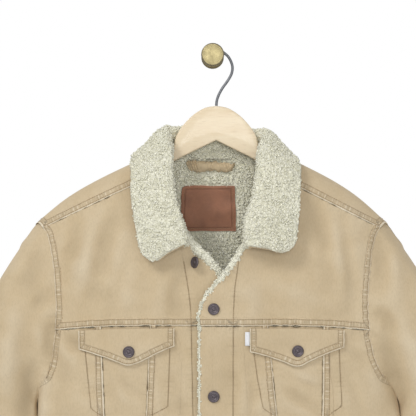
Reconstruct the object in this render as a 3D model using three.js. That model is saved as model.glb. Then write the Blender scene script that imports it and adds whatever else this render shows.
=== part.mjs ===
import * as THREE from 'three';

// Sherpa lined jacket, open at the neck, on a wooden hanger whose hook rests on a round wall knob.
// Millimetres, +Z up, the front faces -Y and the wall is at Y = 0. The origin is the middle of the
// knob's foot on the wall. Left and right are the wearer's: left is +X.

// Driving dimensions

const GAP = 0.3; // clear space at a seam
const HALF_GAP = GAP / 2;
const MIDDLE_Y = -46; // plane of the hanger and of the shoulder ridges
const CLOTH = 2; // wall of the tan cotton
const LINING_AIR = 1.1; // least air between the cotton and the pile lining
const CORNER_AIR = 1.6; // more of it where the body turns round at its sides
const RIDGE_AIR = 2.4; // and under the shoulder ridges
const PILE = 5; // wall of the pile lining
const LAYERS = CLOTH + LINING_AIR + PILE;
const FELL_WIDTH = 9; // felled seam, sewn flat with two rows
const FELL_RISE = 1.2;
const FELL_SLOPE = 1.6; // width of the small slope at a felled seam's free side

const HEM_TOP = -811;
const HEM_BOTTOM = -856;
const UNDERARM_Z = -478;
const YOKE_SEAM_Z = -388; // front chest seam at the middle
const YOKE_SEAM_DROP = 7.5; // its fall at the armhole
const BACK_SEAM_Z = -352;
const OVER_EDGE_X = -18; // the left front lies on top and ends here
const UNDER_EDGE_X = 20;
const OVER_FORWARD = 4.9; // how far each front steps off the common surface at the overlap
const UNDER_BACK = 5.8;
const OVERLAP_FLAT = 26; // full step up to this distance from the middle
const OVERLAP_FADE = 60;

const BUTTON_RADIUS = 8.4;
const BUTTON_THICK = 3.2;
const FRONT_BUTTON_Z = [-364, -488, -611.5, -735, -833];
const FRONT_BUTTON_X = 1.4;

const KNOB_RADIUS = 13.5;
const KNOB_NECK_RADIUS = 11.4;
const KNOB_FRONT_Y = -60;
const KNOB_HEAD_THICK = 9;
const WIRE_RADIUS = 2;
const CUFF_LONG = 46;

const COLOUR = {
  cotton: 0xcbb896,
  pile: 0xdedbc4,
  leather: 0x875841,
  label: 0xf4f2ec,
  gunmetal: 0x4b4448,
  wood: 0xecd6b4,
  steel: 0xc9ccd0,
  brass: 0xbeaf7d,
};
const FINISH = {
  cotton: [0.95, 0],
  pile: [1, 0],
  leather: [0.7, 0],
  label: [0.8, 0],
  gunmetal: [0.45, 0.8],
  wood: [0.5, 0],
  steel: [0.25, 1],
  brass: [0.4, 1],
};

// Small maths

const mix = (a, b, t) => a + (b - a) * t;
const limit = (value, low, high) => Math.min(high, Math.max(low, value));
const ease = (t) => {
  const s = limit(t, 0, 1);
  return s * s * (3 - 2 * s);
};
const radians = THREE.MathUtils.degToRad;
const degrees = THREE.MathUtils.radToDeg;

// A table has one row for each section and one name for each column.
function table(names, rows) {
  const columns = names.split(' ');
  return rows.map((row) => Object.fromEntries(columns.map((name, i) => [name, row[i]])));
}

// Smooth reading of every column of a table at one value of its first, rising column.
function read(rows, key, value) {
  let i = 0;
  while (i < rows.length - 2 && rows[i + 1][key] < value) i += 1;
  const [a, b] = [rows[i], rows[i + 1]];
  const [before, after] = [rows[Math.max(0, i - 1)], rows[Math.min(rows.length - 1, i + 2)]];
  const span = b[key] - a[key];
  const t = limit((value - a[key]) / span, 0, 1);
  const found = {};
  for (const name of Object.keys(a)) {
    const startSlope = (b[name] - before[name]) / (b[key] - before[key]);
    const endSlope = (after[name] - a[name]) / (after[key] - a[key]);
    const t2 = t * t;
    const t3 = t2 * t;
    found[name] =
      (2 * t3 - 3 * t2 + 1) * a[name] + (t3 - 2 * t2 + t) * span * startSlope +
      (3 * t2 - 2 * t3) * b[name] + (t3 - t2) * span * endSlope;
  }
  return found;
}

// Straight run through points at even steps of t.
function run(points) {
  return (t) => {
    const place = limit(t, 0, 1) * (points.length - 1);
    const i = Math.min(points.length - 2, Math.floor(place));
    return points[i].map((value, axis) => mix(value, points[i + 1][axis], place - i));
  };
}

// Smooth run through points at even steps of length.
function sweep(points) {
  const curve = new THREE.CatmullRomCurve3(points.map(([a, b]) => new THREE.Vector3(a, b, 0)));
  return (t) => {
    const p = curve.getPointAt(limit(t, 0, 1));
    return [p.x, p.y];
  };
}

// Torso: level sections, each an oval with a middle, a half width, a depth to the front and to the
// back, and a roundness of 2 for an ellipse and more for a squarer oval. The tops of the sections
// are the shoulder ridges.

const TORSO = table('z centre half front back round', [
  [-856, 5, 240, 40, 37, 2.8],
  [-811, 5, 243, 42, 38, 2.8],
  [-700, 7, 259, 45, 39, 2.9],
  [-600, 9, 265, 46.5, 40, 3],
  [-516, 9, 261.5, 47, 40, 3],
  [-478, 5, 256.5, 47, 40, 3],
  [-420, 0, 257, 47, 40, 3],
  [-340, -1, 258.5, 46, 39, 2.8],
  [-280, -1.4, 257.5, 44, 38, 2.4],
  [-244, -1.4, 254, 42, 37, 2.1],
  [-227.5, -1, 236, 41, 36.5, 2],
  [-212, 0, 218, 40, 36, 2],
  [-199, 1, 199.5, 38.5, 35, 2],
  [-182, 3, 172, 36, 33.5, 2],
  [-165.5, 4, 140, 33, 31, 2],
  [-155, 4.8, 118.5, 30.5, 29, 2],
  [-140, 5, 82, 26, 25, 2],
  [-131, 5, 55, 23, 22, 2],
  [-124, 5, 28, 21, 20, 2],
  [-120, 5, 6, 20, 19, 2],
]);

const torso = (z) => read(TORSO, 'z', limit(z, HEM_BOTTOM, -120));
const centre = (z) => torso(z).centre;

// A point of the torso. Turn is 0 at the front, 90 at the left side and 180 at the back.
// Depth is how far inside the outer face it lies.
function torsoPoint(turn, z, depth = 0) {
  const here = torso(z);
  const above = torso(z + 1.5);
  const below = torso(z - 1.5);
  const isFront = Math.cos(radians(turn)) >= 0;
  const side = isFront ? 'front' : 'back';
  const halfSlope = (above.half - below.half) / 3;
  const depthSlope = (above[side] - below[side]) / 3;
  const half = here.half - depth * Math.hypot(1, halfSlope);
  const reach = here[side] - depth * Math.hypot(1, depthSlope);
  const sine = limit(Math.sin(radians(turn)), -1, 1);
  const fullness = Math.max(0, 1 - Math.abs(sine) ** here.round) ** (1 / here.round);
  return new THREE.Vector3(
    here.centre + half * sine,
    MIDDLE_Y + (isFront ? -1 : 1) * reach * fullness,
    z,
  );
}

function torsoNormal(turn, z) {
  const across = torsoPoint(turn + 2.5, z).sub(torsoPoint(turn - 2.5, z));
  const up = torsoPoint(turn, Math.min(-121, z + 2)).sub(torsoPoint(turn, z - 2));
  const normal = across.cross(up).normalize();
  const outward = torsoPoint(turn, z).sub(new THREE.Vector3(centre(z), MIDDLE_Y, z - 60));
  return outward.dot(normal) < 0 ? normal.negate() : normal;
}

const turnOf = (x, z, isBack) => {
  const sine = limit((x - centre(z)) / torso(z).half, -1, 1);
  const turn = degrees(Math.asin(sine));
  return isBack ? 180 - turn : turn;
};

// Folds: soft ridges from one place to another, seen from the front or the back.

const FOLDS = table('back startX startZ endX endZ width height', [
  [0, -128, -232, -146, -352, 12, 2.6],
  [0, -164, -232, -190, -372, 14, 3],
  [0, -92, -318, -104, -372, 10, 1.6],
  [0, 142, -228, 158, -345, 13, 2.6],
  [0, 186, -245, 200, -372, 13, 3],
  [0, 104, -306, 90, -366, 10, 1.6],
  [0, 98, -476, 158, -512, 8, 1.8],
  [0, -40, -500, -52, -700, 14, 2.4],
  [0, -196, -470, -214, -640, 15, 3],
  [0, 56, -530, 48, -730, 14, 2.4],
  [0, 206, -480, 222, -660, 15, 3],
  [0, -120, -620, -112, -780, 12, 2.2],
  [0, 132, -640, 124, -785, 12, 2.2],
  [1, -150, -420, -120, -640, 18, 2.4],
  [1, 60, -400, 84, -600, 18, 2.2],
  [1, 190, -440, 170, -660, 17, 2.6],
  [1, -30, -560, -44, -760, 16, 2.2],
  [1, -186, -230, -176, -330, 14, 2],
  [1, 178, -230, 170, -330, 14, 2],
]);

const NECK_FLAT_Z = -215; // above this height both fronts lie on one face

// The front edges roll open below the collar: each roll runs from one place to another.
const EDGE_ROLLS = table('lap startX startZ endX endZ width height', [
  [1, 47, -266, 8, -331, 13, 5],
  [-1, -38, -262, 4, -312, 13, 7],
]);

function ridgeHeight(fold, point) {
  const way = [fold.endX - fold.startX, fold.endZ - fold.startZ];
  const length = Math.hypot(...way);
  const gone = [point.x - fold.startX, point.z - fold.startZ];
  const along = (gone[0] * way[0] + gone[1] * way[1]) / length ** 2;
  const aside = (gone[0] * way[1] - gone[1] * way[0]) / length / fold.width;
  const taper = Math.sin(Math.PI * limit(along, 0, 1)) ** 0.7;
  return fold.height * taper * Math.exp(-aside * aside);
}

function foldRise(point, isBack) {
  const here = FOLDS.filter((fold) => (fold.back === 1) === isBack);
  return here.reduce((rise, fold) => rise + ridgeHeight(fold, point), 0);
}

// The torso's cloth at a turn and height: depth goes in, lift goes out, and lap says which front
// it belongs to at the overlap: 1 for the top one, -1 for the one below.
function cloth(turn, z, depth, lift, lap = 0, rollShare = 1) {
  const point = torsoPoint(turn, z, depth);
  const isBack = Math.cos(radians(turn)) < 0;
  point.addScaledVector(torsoNormal(turn, z), lift);
  if (!isBack && lap !== 0) {
    const away = Math.abs(point.x - centre(z)) - OVERLAP_FLAT;
    const share = (1 - ease(away / OVERLAP_FADE)) * ease((NECK_FLAT_Z - z) / 70);
    point.y += share * (lap > 0 ? -OVER_FORWARD : UNDER_BACK);
    for (const roll of EDGE_ROLLS) {
      if (roll.lap === lap) point.y -= rollShare * ridgeHeight(roll, point);
    }
  }
  return point;
}

const foldedCloth = (turn, z, depth, lift, lap) => {
  const isBack = Math.cos(radians(turn)) < 0;
  return cloth(turn, z, depth, lift + foldRise(torsoPoint(turn, z), isBack), lap);
};

// Armholes: distance of the armhole seam from the torso's middle, front and back alike.

const ARMHOLE = table('z out', [
  [UNDERARM_Z, 256.5],
  [-460, 241],
  [-440, 232.5],
  [-418, 228],
  [-395, 224.5],
  [-362, 222],
  [-332, 223.5],
  [-302, 226],
  [-276, 230],
  [-259, 235],
  [-249, 241],
  [-244, 254],
]);
const ARMHOLE_SEAM_ROW = 4; // where the front chest seam meets it
const ARMHOLE_BACK_ROW = 5; // where the back yoke's seam meets it
const armholeTurn = (row) => degrees(Math.asin(limit(row.out / torso(row.z).half, 0, 1)));
const ARMHOLE_FRONT = ARMHOLE.map((row) => [armholeTurn(row), row.z]);
ARMHOLE_FRONT[0] = [90, UNDERARM_Z];
ARMHOLE_FRONT[ARMHOLE_FRONT.length - 1] = [90, ARMHOLE[ARMHOLE.length - 1].z];

// Walls: a closed solid between an outer and an inner grid of points.

function wall(outer, inner, isRing = false) {
  const rows = outer.length;
  const columns = outer[0].length;
  const positions = [];
  for (const grid of [outer, inner]) {
    for (const row of grid) {
      for (const point of row) positions.push(point.x, point.y, point.z);
    }
  }
  const corner = (face, i, j) => face * rows * columns + i * columns + (j % columns);
  const index = [];
  const square = (a, b, c, d) => index.push(a, b, c, a, c, d);
  const lastColumn = isRing ? columns : columns - 1;
  for (let i = 0; i < rows - 1; i += 1) {
    for (let j = 0; j < lastColumn; j += 1) {
      square(corner(0, i, j), corner(0, i, j + 1), corner(0, i + 1, j + 1), corner(0, i + 1, j));
      square(corner(1, i, j), corner(1, i + 1, j), corner(1, i + 1, j + 1), corner(1, i, j + 1));
    }
  }
  for (let j = 0; j < lastColumn; j += 1) {
    square(corner(0, 0, j), corner(1, 0, j), corner(1, 0, j + 1), corner(0, 0, j + 1));
    const i = rows - 1;
    square(corner(0, i, j), corner(0, i, j + 1), corner(1, i, j + 1), corner(1, i, j));
  }
  for (let i = 0; i < rows - 1 && !isRing; i += 1) {
    square(corner(0, i, 0), corner(0, i + 1, 0), corner(1, i + 1, 0), corner(1, i, 0));
    const j = columns - 1;
    square(corner(0, i, j), corner(1, i, j), corner(1, i + 1, j), corner(0, i + 1, j));
  }
  return outwardGeometry(positions, index);
}

function outwardGeometry(positions, index) {
  let volume = 0;
  const at = (i) => new THREE.Vector3().fromArray(positions, i * 3);
  for (let i = 0; i < index.length; i += 3) {
    volume += at(index[i]).dot(at(index[i + 1]).cross(at(index[i + 2])));
  }
  if (volume < 0) index.reverse();
  const geometry = new THREE.BufferGeometry();
  geometry.setAttribute('position', new THREE.Float32BufferAttribute(positions, 3));
  geometry.setIndex(index);
  geometry.computeVertexNormals();
  return geometry;
}

const jacket = new THREE.Group();

function add(name, look, geometry) {
  const [roughness, metalness] = FINISH[look];
  const material = new THREE.MeshStandardMaterial({ color: COLOUR[look], roughness, metalness });
  const mesh = new THREE.Mesh(geometry, material);
  mesh.name = name;
  jacket.add(mesh);
  return mesh;
}

// Steps from 0 to 1 that stop half a gap short of each end, with two more lines where a felled
// seam lies along an end.
function steps(count, length, fellStart, fellEnd) {
  const short = HALF_GAP / length;
  const fell = FELL_WIDTH / length;
  const slope = FELL_SLOPE / length;
  const list = [short];
  if (fellStart) list.push(fell, fell + slope);
  const first = list[list.length - 1];
  const last = fellEnd ? 1 - fell - slope : 1 - short;
  for (let i = 1; i < count; i += 1) list.push(mix(first, last, i / count));
  list.push(last);
  if (fellEnd) list.push(1 - fell, 1 - short);
  return list;
}

// A patch of cloth between four edges that share their corners.
function patch({ left, right, bottom, top, size, count, fell = {}, rowsAt, columnsAt }) {
  const across = columnsAt ?? steps(count[0], size[0], fell.left, fell.right);
  const upward = rowsAt ?? steps(count[1], size[1], fell.bottom, fell.top);
  const [c00, c10, c01, c11] = [bottom(0), bottom(1), top(0), top(1)];
  const rows = upward.map((v) => across.map((u) => {
    const [b, t, l, r] = [bottom(u), top(u), left(v), right(v)];
    const spot = [0, 1].map((axis) =>
      mix(b[axis], t[axis], v) + mix(l[axis], r[axis], u) -
      mix(mix(c00[axis], c10[axis], u), mix(c01[axis], c11[axis], u), v));
    const near = (isFelled, distance, length) => isFelled && distance * length <= FELL_WIDTH + 0.01;
    const raised =
      near(fell.left, u, size[0]) || near(fell.right, 1 - u, size[0]) ||
      near(fell.bottom, v, size[1]) || near(fell.top, 1 - v, size[1]);
    return { spot, lift: raised ? FELL_RISE : 0 };
  }));
  return rows;
}

function addPatch(name, look, rows, place, thick) {
  const outer = rows.map((row) => row.map(({ spot, lift }) => place(spot[0], spot[1], -lift)));
  const inner = rows.map((row) => row.map(({ spot }) => place(spot[0], spot[1], thick)));
  add(name, look, wall(outer, inner));
}

// Front pieces. Each side is worked out for the left and turned over for the right.

const seamZ = (out) => YOKE_SEAM_Z - YOKE_SEAM_DROP * limit(out / 224.5, 0, 1.1) ** 4;

const SIDES = [
  {
    name: 'left',
    sign: 1,
    lap: 1,
    edgeX: OVER_EDGE_X,
    neckline: [[-18, -362], [0.5, -336], [22, -310], [43, -279], [57, -254], [70, -227], [80, -199]],
    seamTop: [79, 158],
    seamBottom: [116, 146],
  },
  {
    name: 'right',
    sign: -1,
    lap: -1,
    edgeX: UNDER_EDGE_X,
    neckline: [[20, -362], [18, -337], [3, -306], [-30, -273], [-46, -250], [-59, -225], [-70, -198]],
    seamTop: [88, 158],
    seamBottom: [112, 146],
  },
];
// The front shoulder seam runs straight from the neck to the armhole.
const NECK_OUT = 82;
const NECK_Z = -172;
const SEAM_END_OUT = 241;
const SEAM_END_Z = -249;
const shoulderSeamZ = (out) =>
  mix(NECK_Z, SEAM_END_Z, (out - NECK_OUT) / (SEAM_END_OUT - NECK_OUT));
const SHOULDER_SEAM_ROW = 10; // armhole row where the front shoulder seam ends

function frontTurn(x, z) {
  return turnOf(x, z, false);
}

const FRONT_ROW_Z = [-811, -790, -750, -708, -666, -624, -584, -548, -512, -478, -460, -440, -418, -395];
const FRONT_YOKE_ROWS = [
  0.0006, 0.053, 0.0625, 1 / 6, 0.25, 1 / 3, 0.42, 1 / 2, 0.58, 2 / 3, 0.75, 5 / 6, 0.92, 0.9994,
];
const frontRows = FRONT_ROW_Z.map((z) => limit((z - HEM_TOP) / (-395 - HEM_TOP), 0.0004, 0.9996));

for (const side of SIDES) {
  const { sign, lap } = side;
  const armhole = ARMHOLE_FRONT.map(([turn, z]) => [sign * turn, z]);
  const seamRun = (topOut, bottomOut) => (v) => {
    const top = [centre(YOKE_SEAM_Z) + sign * topOut, seamZ(topOut)];
    const bottom = [centre(HEM_TOP) + sign * bottomOut, HEM_TOP];
    return [mix(bottom[0], top[0], v), mix(bottom[1], top[1], v)];
  };
  const frontEdge = (v) => [side.edgeX, mix(HEM_TOP, seamZ(0), v)];
  const inner = seamRun(side.seamTop[0], side.seamBottom[0]);
  const outer = seamRun(side.seamTop[1], side.seamBottom[1]);
  const level = (from, to) => (u) => [mix(from[0], to[0], u), mix(from[1], to[1], u)];
  const chest = (from, to) => (u) => {
    const x = mix(from[0], to[0], u);
    return [x, seamZ(Math.abs(x - centre(YOKE_SEAM_Z)))];
  };
  const onFront = (x, z, depth) => foldedCloth(frontTurn(x, z), z, depth, 0, lap);
  const onTurn = (turn, z, depth) => foldedCloth(turn, z, depth, 0, lap);

  // Centre panel, from the front edge to the inner long seam.
  addPatch(`centre_panel_${side.name}`, 'cotton', patch({
    left: frontEdge,
    right: inner,
    bottom: level(frontEdge(0), inner(0)),
    top: chest(frontEdge(1), inner(1)),
    size: [118, 420],
    count: [5, 0],
    fell: { right: true },
    rowsAt: frontRows,
  }), onFront, CLOTH);

  // Pocket panel, between the two long seams.
  addPatch(`pocket_panel_${side.name}`, 'cotton', patch({
    left: inner,
    right: outer,
    bottom: level(inner(0), outer(0)),
    top: chest(inner(1), outer(1)),
    size: [70, 420],
    count: [4, 0],
    rowsAt: frontRows,
  }), onFront, CLOTH);

  // Side panel, from the outer long seam round to the side seam and the armhole.
  const toTurn = ([x, z]) => [frontTurn(x, z), z];
  const sideEdge = (v) => {
    const z = mix(HEM_TOP, armhole[ARMHOLE_SEAM_ROW][1], v);
    if (z <= UNDERARM_Z) return [sign * 90, z];
    const row = armhole.findIndex((spot) => spot[1] >= z - 0.001);
    const [low, high] = [armhole[Math.max(0, row - 1)], armhole[row]];
    const t = row === 0 ? 0 : (z - low[1]) / (high[1] - low[1]);
    return [mix(low[0], high[0], t), z];
  };
  const sideTop = (u) => {
    const turn = mix(toTurn(outer(1))[0], armhole[ARMHOLE_SEAM_ROW][0], u);
    const out = Math.abs(torso(YOKE_SEAM_Z).half * Math.sin(radians(turn)));
    return [turn, mix(seamZ(out), armhole[ARMHOLE_SEAM_ROW][1], u ** 4)];
  };
  addPatch(`side_panel_${side.name}`, 'cotton', patch({
    left: (v) => toTurn(outer(v)),
    right: sideEdge,
    bottom: level(toTurn(outer(0)), [sign * 90, HEM_TOP]),
    top: sideTop,
    size: [120, 420],
    count: [5, 0],
    fell: { left: true },
    rowsAt: frontRows,
  }), onTurn, CLOTH);

  // Yoke, from the chest seam up to the front shoulder seam.
  const neckEnd = [centre(NECK_Z) + sign * NECK_OUT, NECK_Z];
  const yokeArm = armhole.slice(ARMHOLE_SEAM_ROW, SHOULDER_SEAM_ROW + 1);
  const armRun = run(yokeArm.map(([turn, z]) => [torsoPoint(turn, z).x, z]));
  const yokeInner = sweep([[side.edgeX, seamZ(0)], ...side.neckline, neckEnd]);
  addPatch(`front_yoke_${side.name}`, 'cotton', patch({
    left: yokeInner,
    right: armRun,
    bottom: chest([side.edgeX, 0], [armRun(0)[0], 0]),
    top: (u) => {
      const out = mix(NECK_OUT, SEAM_END_OUT, u);
      const z = shoulderSeamZ(out);
      return [centre(z) + sign * out, z];
    },
    size: [210, 170],
    count: [10, 0],
    fell: { right: true, bottom: true },
    rowsAt: FRONT_YOKE_ROWS,
  }), onFront, CLOTH);
}

// Back yoke. It runs from the back seam over the shoulder ridges to the front shoulder seams.
// Arc is the way over the ridge: 0 on it, less than 0 behind it and more in front.

const RIDGE_RADIUS = 15;
const ridgeZ = (out) => {
  let [low, high] = [-246, -120];
  for (let i = 0; i < 40; i += 1) {
    const z = (low + high) / 2;
    if (torso(z).half > out) low = z;
    else high = z;
  }
  return low;
};
const arcOf = (drop) => Math.sign(drop) * Math.sqrt(drop * drop + 2 * Math.abs(drop) * RIDGE_RADIUS);
const dropOf = (arc) => Math.hypot(arc, RIDGE_RADIUS) - RIDGE_RADIUS;

function overShoulder(out, arc, depth) {
  const z = ridgeZ(Math.abs(out)) - dropOf(arc);
  const turn = degrees(Math.asin(limit(out / torso(z).half, -1, 1)));
  return foldedCloth(arc < 0 ? 180 - turn : turn, z, depth, 0);
}

const arcAt = (out, z, sign) => arcOf(sign * Math.max(0, ridgeZ(Math.abs(out)) - z));
const BACK_TURN = 180 - ARMHOLE_FRONT[ARMHOLE_BACK_ROW][0];
const BACK_ARM_Z = ARMHOLE_FRONT[ARMHOLE_BACK_ROW][1];
const backSeam = (s) => {
  const turn = mix(BACK_TURN, 360 - BACK_TURN, s);
  return [turn, mix(BACK_SEAM_Z, BACK_ARM_Z, Math.abs(2 * s - 1) ** 2)];
};
const backSeamOut = (s) => {
  const [turn, z] = backSeam(s);
  const out = torso(z).half * Math.sin(radians(turn));
  return [out, arcAt(out, z, -1)];
};

// Neck edge of the back yoke on one half: share of the way to the middle. The shoulder seam comes
// before it.
const SEAM_SHARE = 0.72;
const NECK_EDGE = table('share out drop', [
  [SEAM_SHARE, NECK_OUT, ridgeZ(NECK_OUT) - NECK_Z],
  [0.79, 84, 12],
  [0.85, 81, 0],
  [0.9, 70, -9],
  [0.95, 42, -22],
  [1, 0, -31.5],
]);
const yokeTop = (s) => {
  const share = 1 - Math.abs(2 * s - 1);
  const sign = s <= 0.5 ? 1 : -1;
  if (share <= SEAM_SHARE) {
    const out = mix(SEAM_END_OUT, NECK_OUT, share / SEAM_SHARE);
    return [sign * out, arcAt(out, shoulderSeamZ(out), 1)];
  }
  const i = Math.max(1, NECK_EDGE.findIndex((row) => row.share >= share - 1e-9));
  const [a, b] = [NECK_EDGE[i - 1], NECK_EDGE[i]];
  const t = (share - a.share) / (b.share - a.share);
  return [sign * mix(a.out, b.out, t), mix(arcOf(a.drop), arcOf(b.drop), t)];
};
const yokeArmEdge = (sign) => {
  const behind = ARMHOLE.slice(ARMHOLE_BACK_ROW, ARMHOLE.length - 1);
  const spots = behind.map(({ out, z }) => [sign * out, arcAt(out, z, -1)]);
  spots.push([sign * 253.5, 0], [sign * SEAM_END_OUT, arcAt(SEAM_END_OUT, SEAM_END_Z, 1)]);
  return run(spots);
};
const yokeEnds = [yokeArmEdge(1), yokeArmEdge(-1)];
const yokeBottom = (s) => {
  const [out, arc] = backSeamOut(s);
  const share = Math.abs(2 * s - 1) ** 12;
  const end = (s < 0.5 ? yokeEnds[0] : yokeEnds[1])(0);
  return [mix(out, end[0], share), mix(arc, end[1], share)];
};
const YOKE_ROWS = [
  0.0006, 0.0375, 0.0442, 1 / 7, 2 / 7, 3 / 7, 4 / 7, 0.645, 5 / 7, 0.786, 0.825, 6 / 7, 0.893, 0.94, 0.9992,
];
const YOKE_SHARES = [0.0006, 0.15, 0.3, 0.45, 0.6, 0.67, SEAM_SHARE, 0.79, 0.85, 0.9, 0.95, 1];
const YOKE_COLUMNS = [
  ...YOKE_SHARES.map((share) => share / 2),
  ...YOKE_SHARES.slice(0, -1).reverse().map((share) => 1 - share / 2),
];
addPatch('back_yoke', 'cotton', patch({
  left: yokeEnds[0],
  right: yokeEnds[1],
  bottom: yokeBottom,
  top: yokeTop,
  size: [470, 240],
  fell: { bottom: true },
  rowsAt: YOKE_ROWS,
  columnsAt: YOKE_COLUMNS,
}), overShoulder, CLOTH);

// Back panel, from the yoke's seam to the waistband and from side seam to side seam.
const BACK_SIDE_SHARES = [0, 0.37, 0.74, 0.78, 0.83, 0.88, 0.93, 1]; // of the height, by armhole row
const BACK_ROWS = [0.0004, 0.09, 0.18, 0.28, 0.37, 0.46, 0.55, 0.65, 0.74, 0.78, 0.83, 0.88, 0.93, 0.9996];
const backSide = (sign) => {
  const spots = ARMHOLE_FRONT.slice(0, ARMHOLE_BACK_ROW + 1).map(([turn, z]) => [180 - turn, z]);
  const turned = spots.map(([turn, z]) => [sign > 0 ? turn : 360 - turn, z]);
  const low = mix(HEM_TOP, UNDERARM_Z, 0.5);
  const points = [[turned[0][0], HEM_TOP], [turned[0][0], low], ...turned];
  const share = BACK_SIDE_SHARES;
  return (v) => {
    const i = Math.max(1, share.findIndex((value) => value >= v - 1e-9));
    const t = (v - share[i - 1]) / (share[i] - share[i - 1]);
    return [mix(points[i - 1][0], points[i][0], t), mix(points[i - 1][1], points[i][1], t)];
  };
};
addPatch('back_panel', 'cotton', patch({
  left: backSide(1),
  right: backSide(-1),
  bottom: (s) => [mix(90, 270, s), HEM_TOP],
  top: backSeam,
  size: [560, 450],
  count: [20, 0],
  rowsAt: BACK_ROWS,
}), (turn, z, depth) => foldedCloth(turn, z, depth, 0), CLOTH);

// Pile lining inside the body, from the waistband to the neck, open at the armholes.

// Lining rows fall on the armhole's own rows, with more of them near the ridge.
const LINING_ROWS = [0.0004, ...Array.from({ length: 13 }, (_, i) => (i + 1) / 14), 0.955, 0.98, 0.9996];
const nearness = (value, middle, width) => Math.exp(-(((value - middle) / width) ** 2));
function liningAir(turn, z) {
  const fromSide = Math.abs(90 - Math.abs(turn > 180 ? turn - 360 : turn));
  const ridge = ease((z + 290) / 40) * nearness(fromSide, 0, 24);
  const corner = nearness(fromSide, 18, 17) + 3.6 * nearness(fromSide, 14, 18) * nearness(z, -468, 16);
  const behindNeck = 0.9 * nearness(fromSide, 30, 30) * nearness(z, -155, 14);
  return LINING_AIR + CORNER_AIR * corner + RIDGE_AIR * ridge + behindNeck;
}
function liningPlace(lap) {
  return (turn, z, depth) => {
    const kept = lap === 0 ? limit(turn, 90.2, 269.8) : Math.sign(turn) * Math.min(89.8, Math.abs(turn));
    const place = lap === 0 ? kept : kept || turn;
    return cloth(place, z, CLOTH + liningAir(place, z) + depth, 0, lap, 0.5);
  };
}
const RIDGE_SHARE = 0.55; // share of the lining's top edge that follows the shoulder ridge
for (const side of SIDES) {
  const { sign, lap } = side;
  const armhole = ARMHOLE_FRONT.map(([turn, z]) => [sign * turn, z]);
  const sideRun = [[sign * 90, HEM_TOP], [sign * 90, -700], [sign * 90, -590], ...armhole];
  const bottomTurn = frontTurn(side.edgeX, HEM_TOP);
  const neck = side.neckline.map(([x, z]) => [frontTurn(x, z), z]);
  const neckTop = [sign * 90, -150];
  const inside = sweep([
    [bottomTurn, HEM_TOP],
    [frontTurn(side.edgeX, -600), -600],
    [frontTurn(side.edgeX, YOKE_SEAM_Z), YOKE_SEAM_Z],
    ...neck,
    [sign * 42, -168],
    [sign * 58, -158],
    neckTop,
  ]);
  addPatch(`lining_front_${side.name}`, 'pile', patch({
    left: inside,
    right: run(sideRun),
    bottom: (u) => [mix(bottomTurn, sign * 90, u), HEM_TOP],
    top: (u) => [sign * 90, mix(neckTop[1], -244, u)],
    size: [240, 650],
    count: [7, 0],
    rowsAt: LINING_ROWS,
  }), liningPlace(lap), PILE);
}

const backRun = (sign) => {
  const turned = ARMHOLE_FRONT.map(([turn, z]) => [sign > 0 ? 180 - turn : 180 + turn, z]);
  const start = turned[0][0];
  return run([[start, HEM_TOP], [start, -700], [start, -590], ...turned]);
};
const LINING_NECK = table('share turn z', [
  [0, 90, -244],
  [RIDGE_SHARE, 90, -150],
  [0.66, 112, -151],
  [0.8, 145, -152.5],
  [1, 180, -153],
]);
addPatch('lining_back', 'pile', patch({
  left: backRun(1),
  right: backRun(-1),
  bottom: (s) => [mix(90, 270, s), HEM_TOP],
  top: (s) => {
    const row = read(LINING_NECK, 'share', 1 - Math.abs(2 * s - 1));
    return [s <= 0.5 ? row.turn : 360 - row.turn, row.z];
  },
  size: [500, 650],
  count: [14, 0],
  rowsAt: LINING_ROWS,
}), liningPlace(0), PILE);

// Waistband, one strip from the top front's edge round the body to the edge below it.

const BAND_TURNS = 40;
const BAND_WALL = 4;
{
  const start = frontTurn(OVER_EDGE_X, HEM_TOP);
  const end = 360 + frontTurn(UNDER_EDGE_X, HEM_TOP);
  const face = (depth) => [HEM_TOP - GAP, mix(HEM_TOP, HEM_BOTTOM, 0.5), HEM_BOTTOM].map((z) => {
    const row = [];
    for (let i = 0; i <= BAND_TURNS; i += 1) {
      const turn = mix(start, end, i / BAND_TURNS);
      row.push(cloth(turn, z, depth, depth ? 0 : 0.8, turn < 180 ? 1 : -1));
    }
    return row;
  });
  add('waistband', 'cotton', wall(face(0), face(BAND_WALL)));
}

// Sleeves, laid round between an outer and an inner line, from the armhole to the cuff.

const SLEEVE = table('step outer outerZ outerY inner innerZ innerY thick', [
  [0, 254, -244, -46, 256.5, -478, -46, 62],
  [1, 268, -265, -46, 261, -488, -43, 72],
  [2, 287, -294, -47, 264, -500, -36, 80],
  [3, 312, -335, -48, 265, -517, -28, 86],
  [4, 343, -398, -49, 265.5, -548, -24, 88],
  [5, 372, -468, -50, 267.5, -592, -24, 87],
  [6, 395, -538, -51, 273, -642, -26, 84],
  [7, 415, -618, -51, 284, -700, -30, 79],
  [8, 432, -698, -50, 300, -758, -35, 72],
  [9, 445, -764, -48, 317, -806, -40, 62],
  [10, 451, -800, -47, 329, -828, -44, 50],
]);
const SLEEVE_FOLDS = table('step turn stepWidth turnWidth height', [
  [1.6, 60, 0.5, 45, 2.4],
  [2.6, 110, 0.55, 45, 3.2],
  [3.6, 75, 0.5, 50, 3],
  [4.6, 120, 0.6, 45, 3],
  [6.1, 95, 0.45, 60, 2.6],
  [7.4, 60, 0.4, 50, 2.2],
  [8.6, 110, 0.4, 60, 2.4],
  [3.1, 250, 0.6, 50, 2.6],
  [5.6, 270, 0.5, 60, 2.4],
  [8.1, 240, 0.45, 60, 2.2],
]);
const SLEEVE_SQUARE = 2.3;
const SLEEVE_ROWS = 15;
const ARM_BLEND = 3.2; // steps over which the armhole's shape turns into the sleeve's oval

const rootOf = (value, power) => Math.sign(value) * Math.abs(value) ** (2 / power);

// Angles round a sleeve, 0 at the outer line, rising over the front, one for each armhole row.
const ARM_ROWS = ARMHOLE.length - 1;
const armAngle = (k) => 180 * (k / ARM_ROWS);

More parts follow.
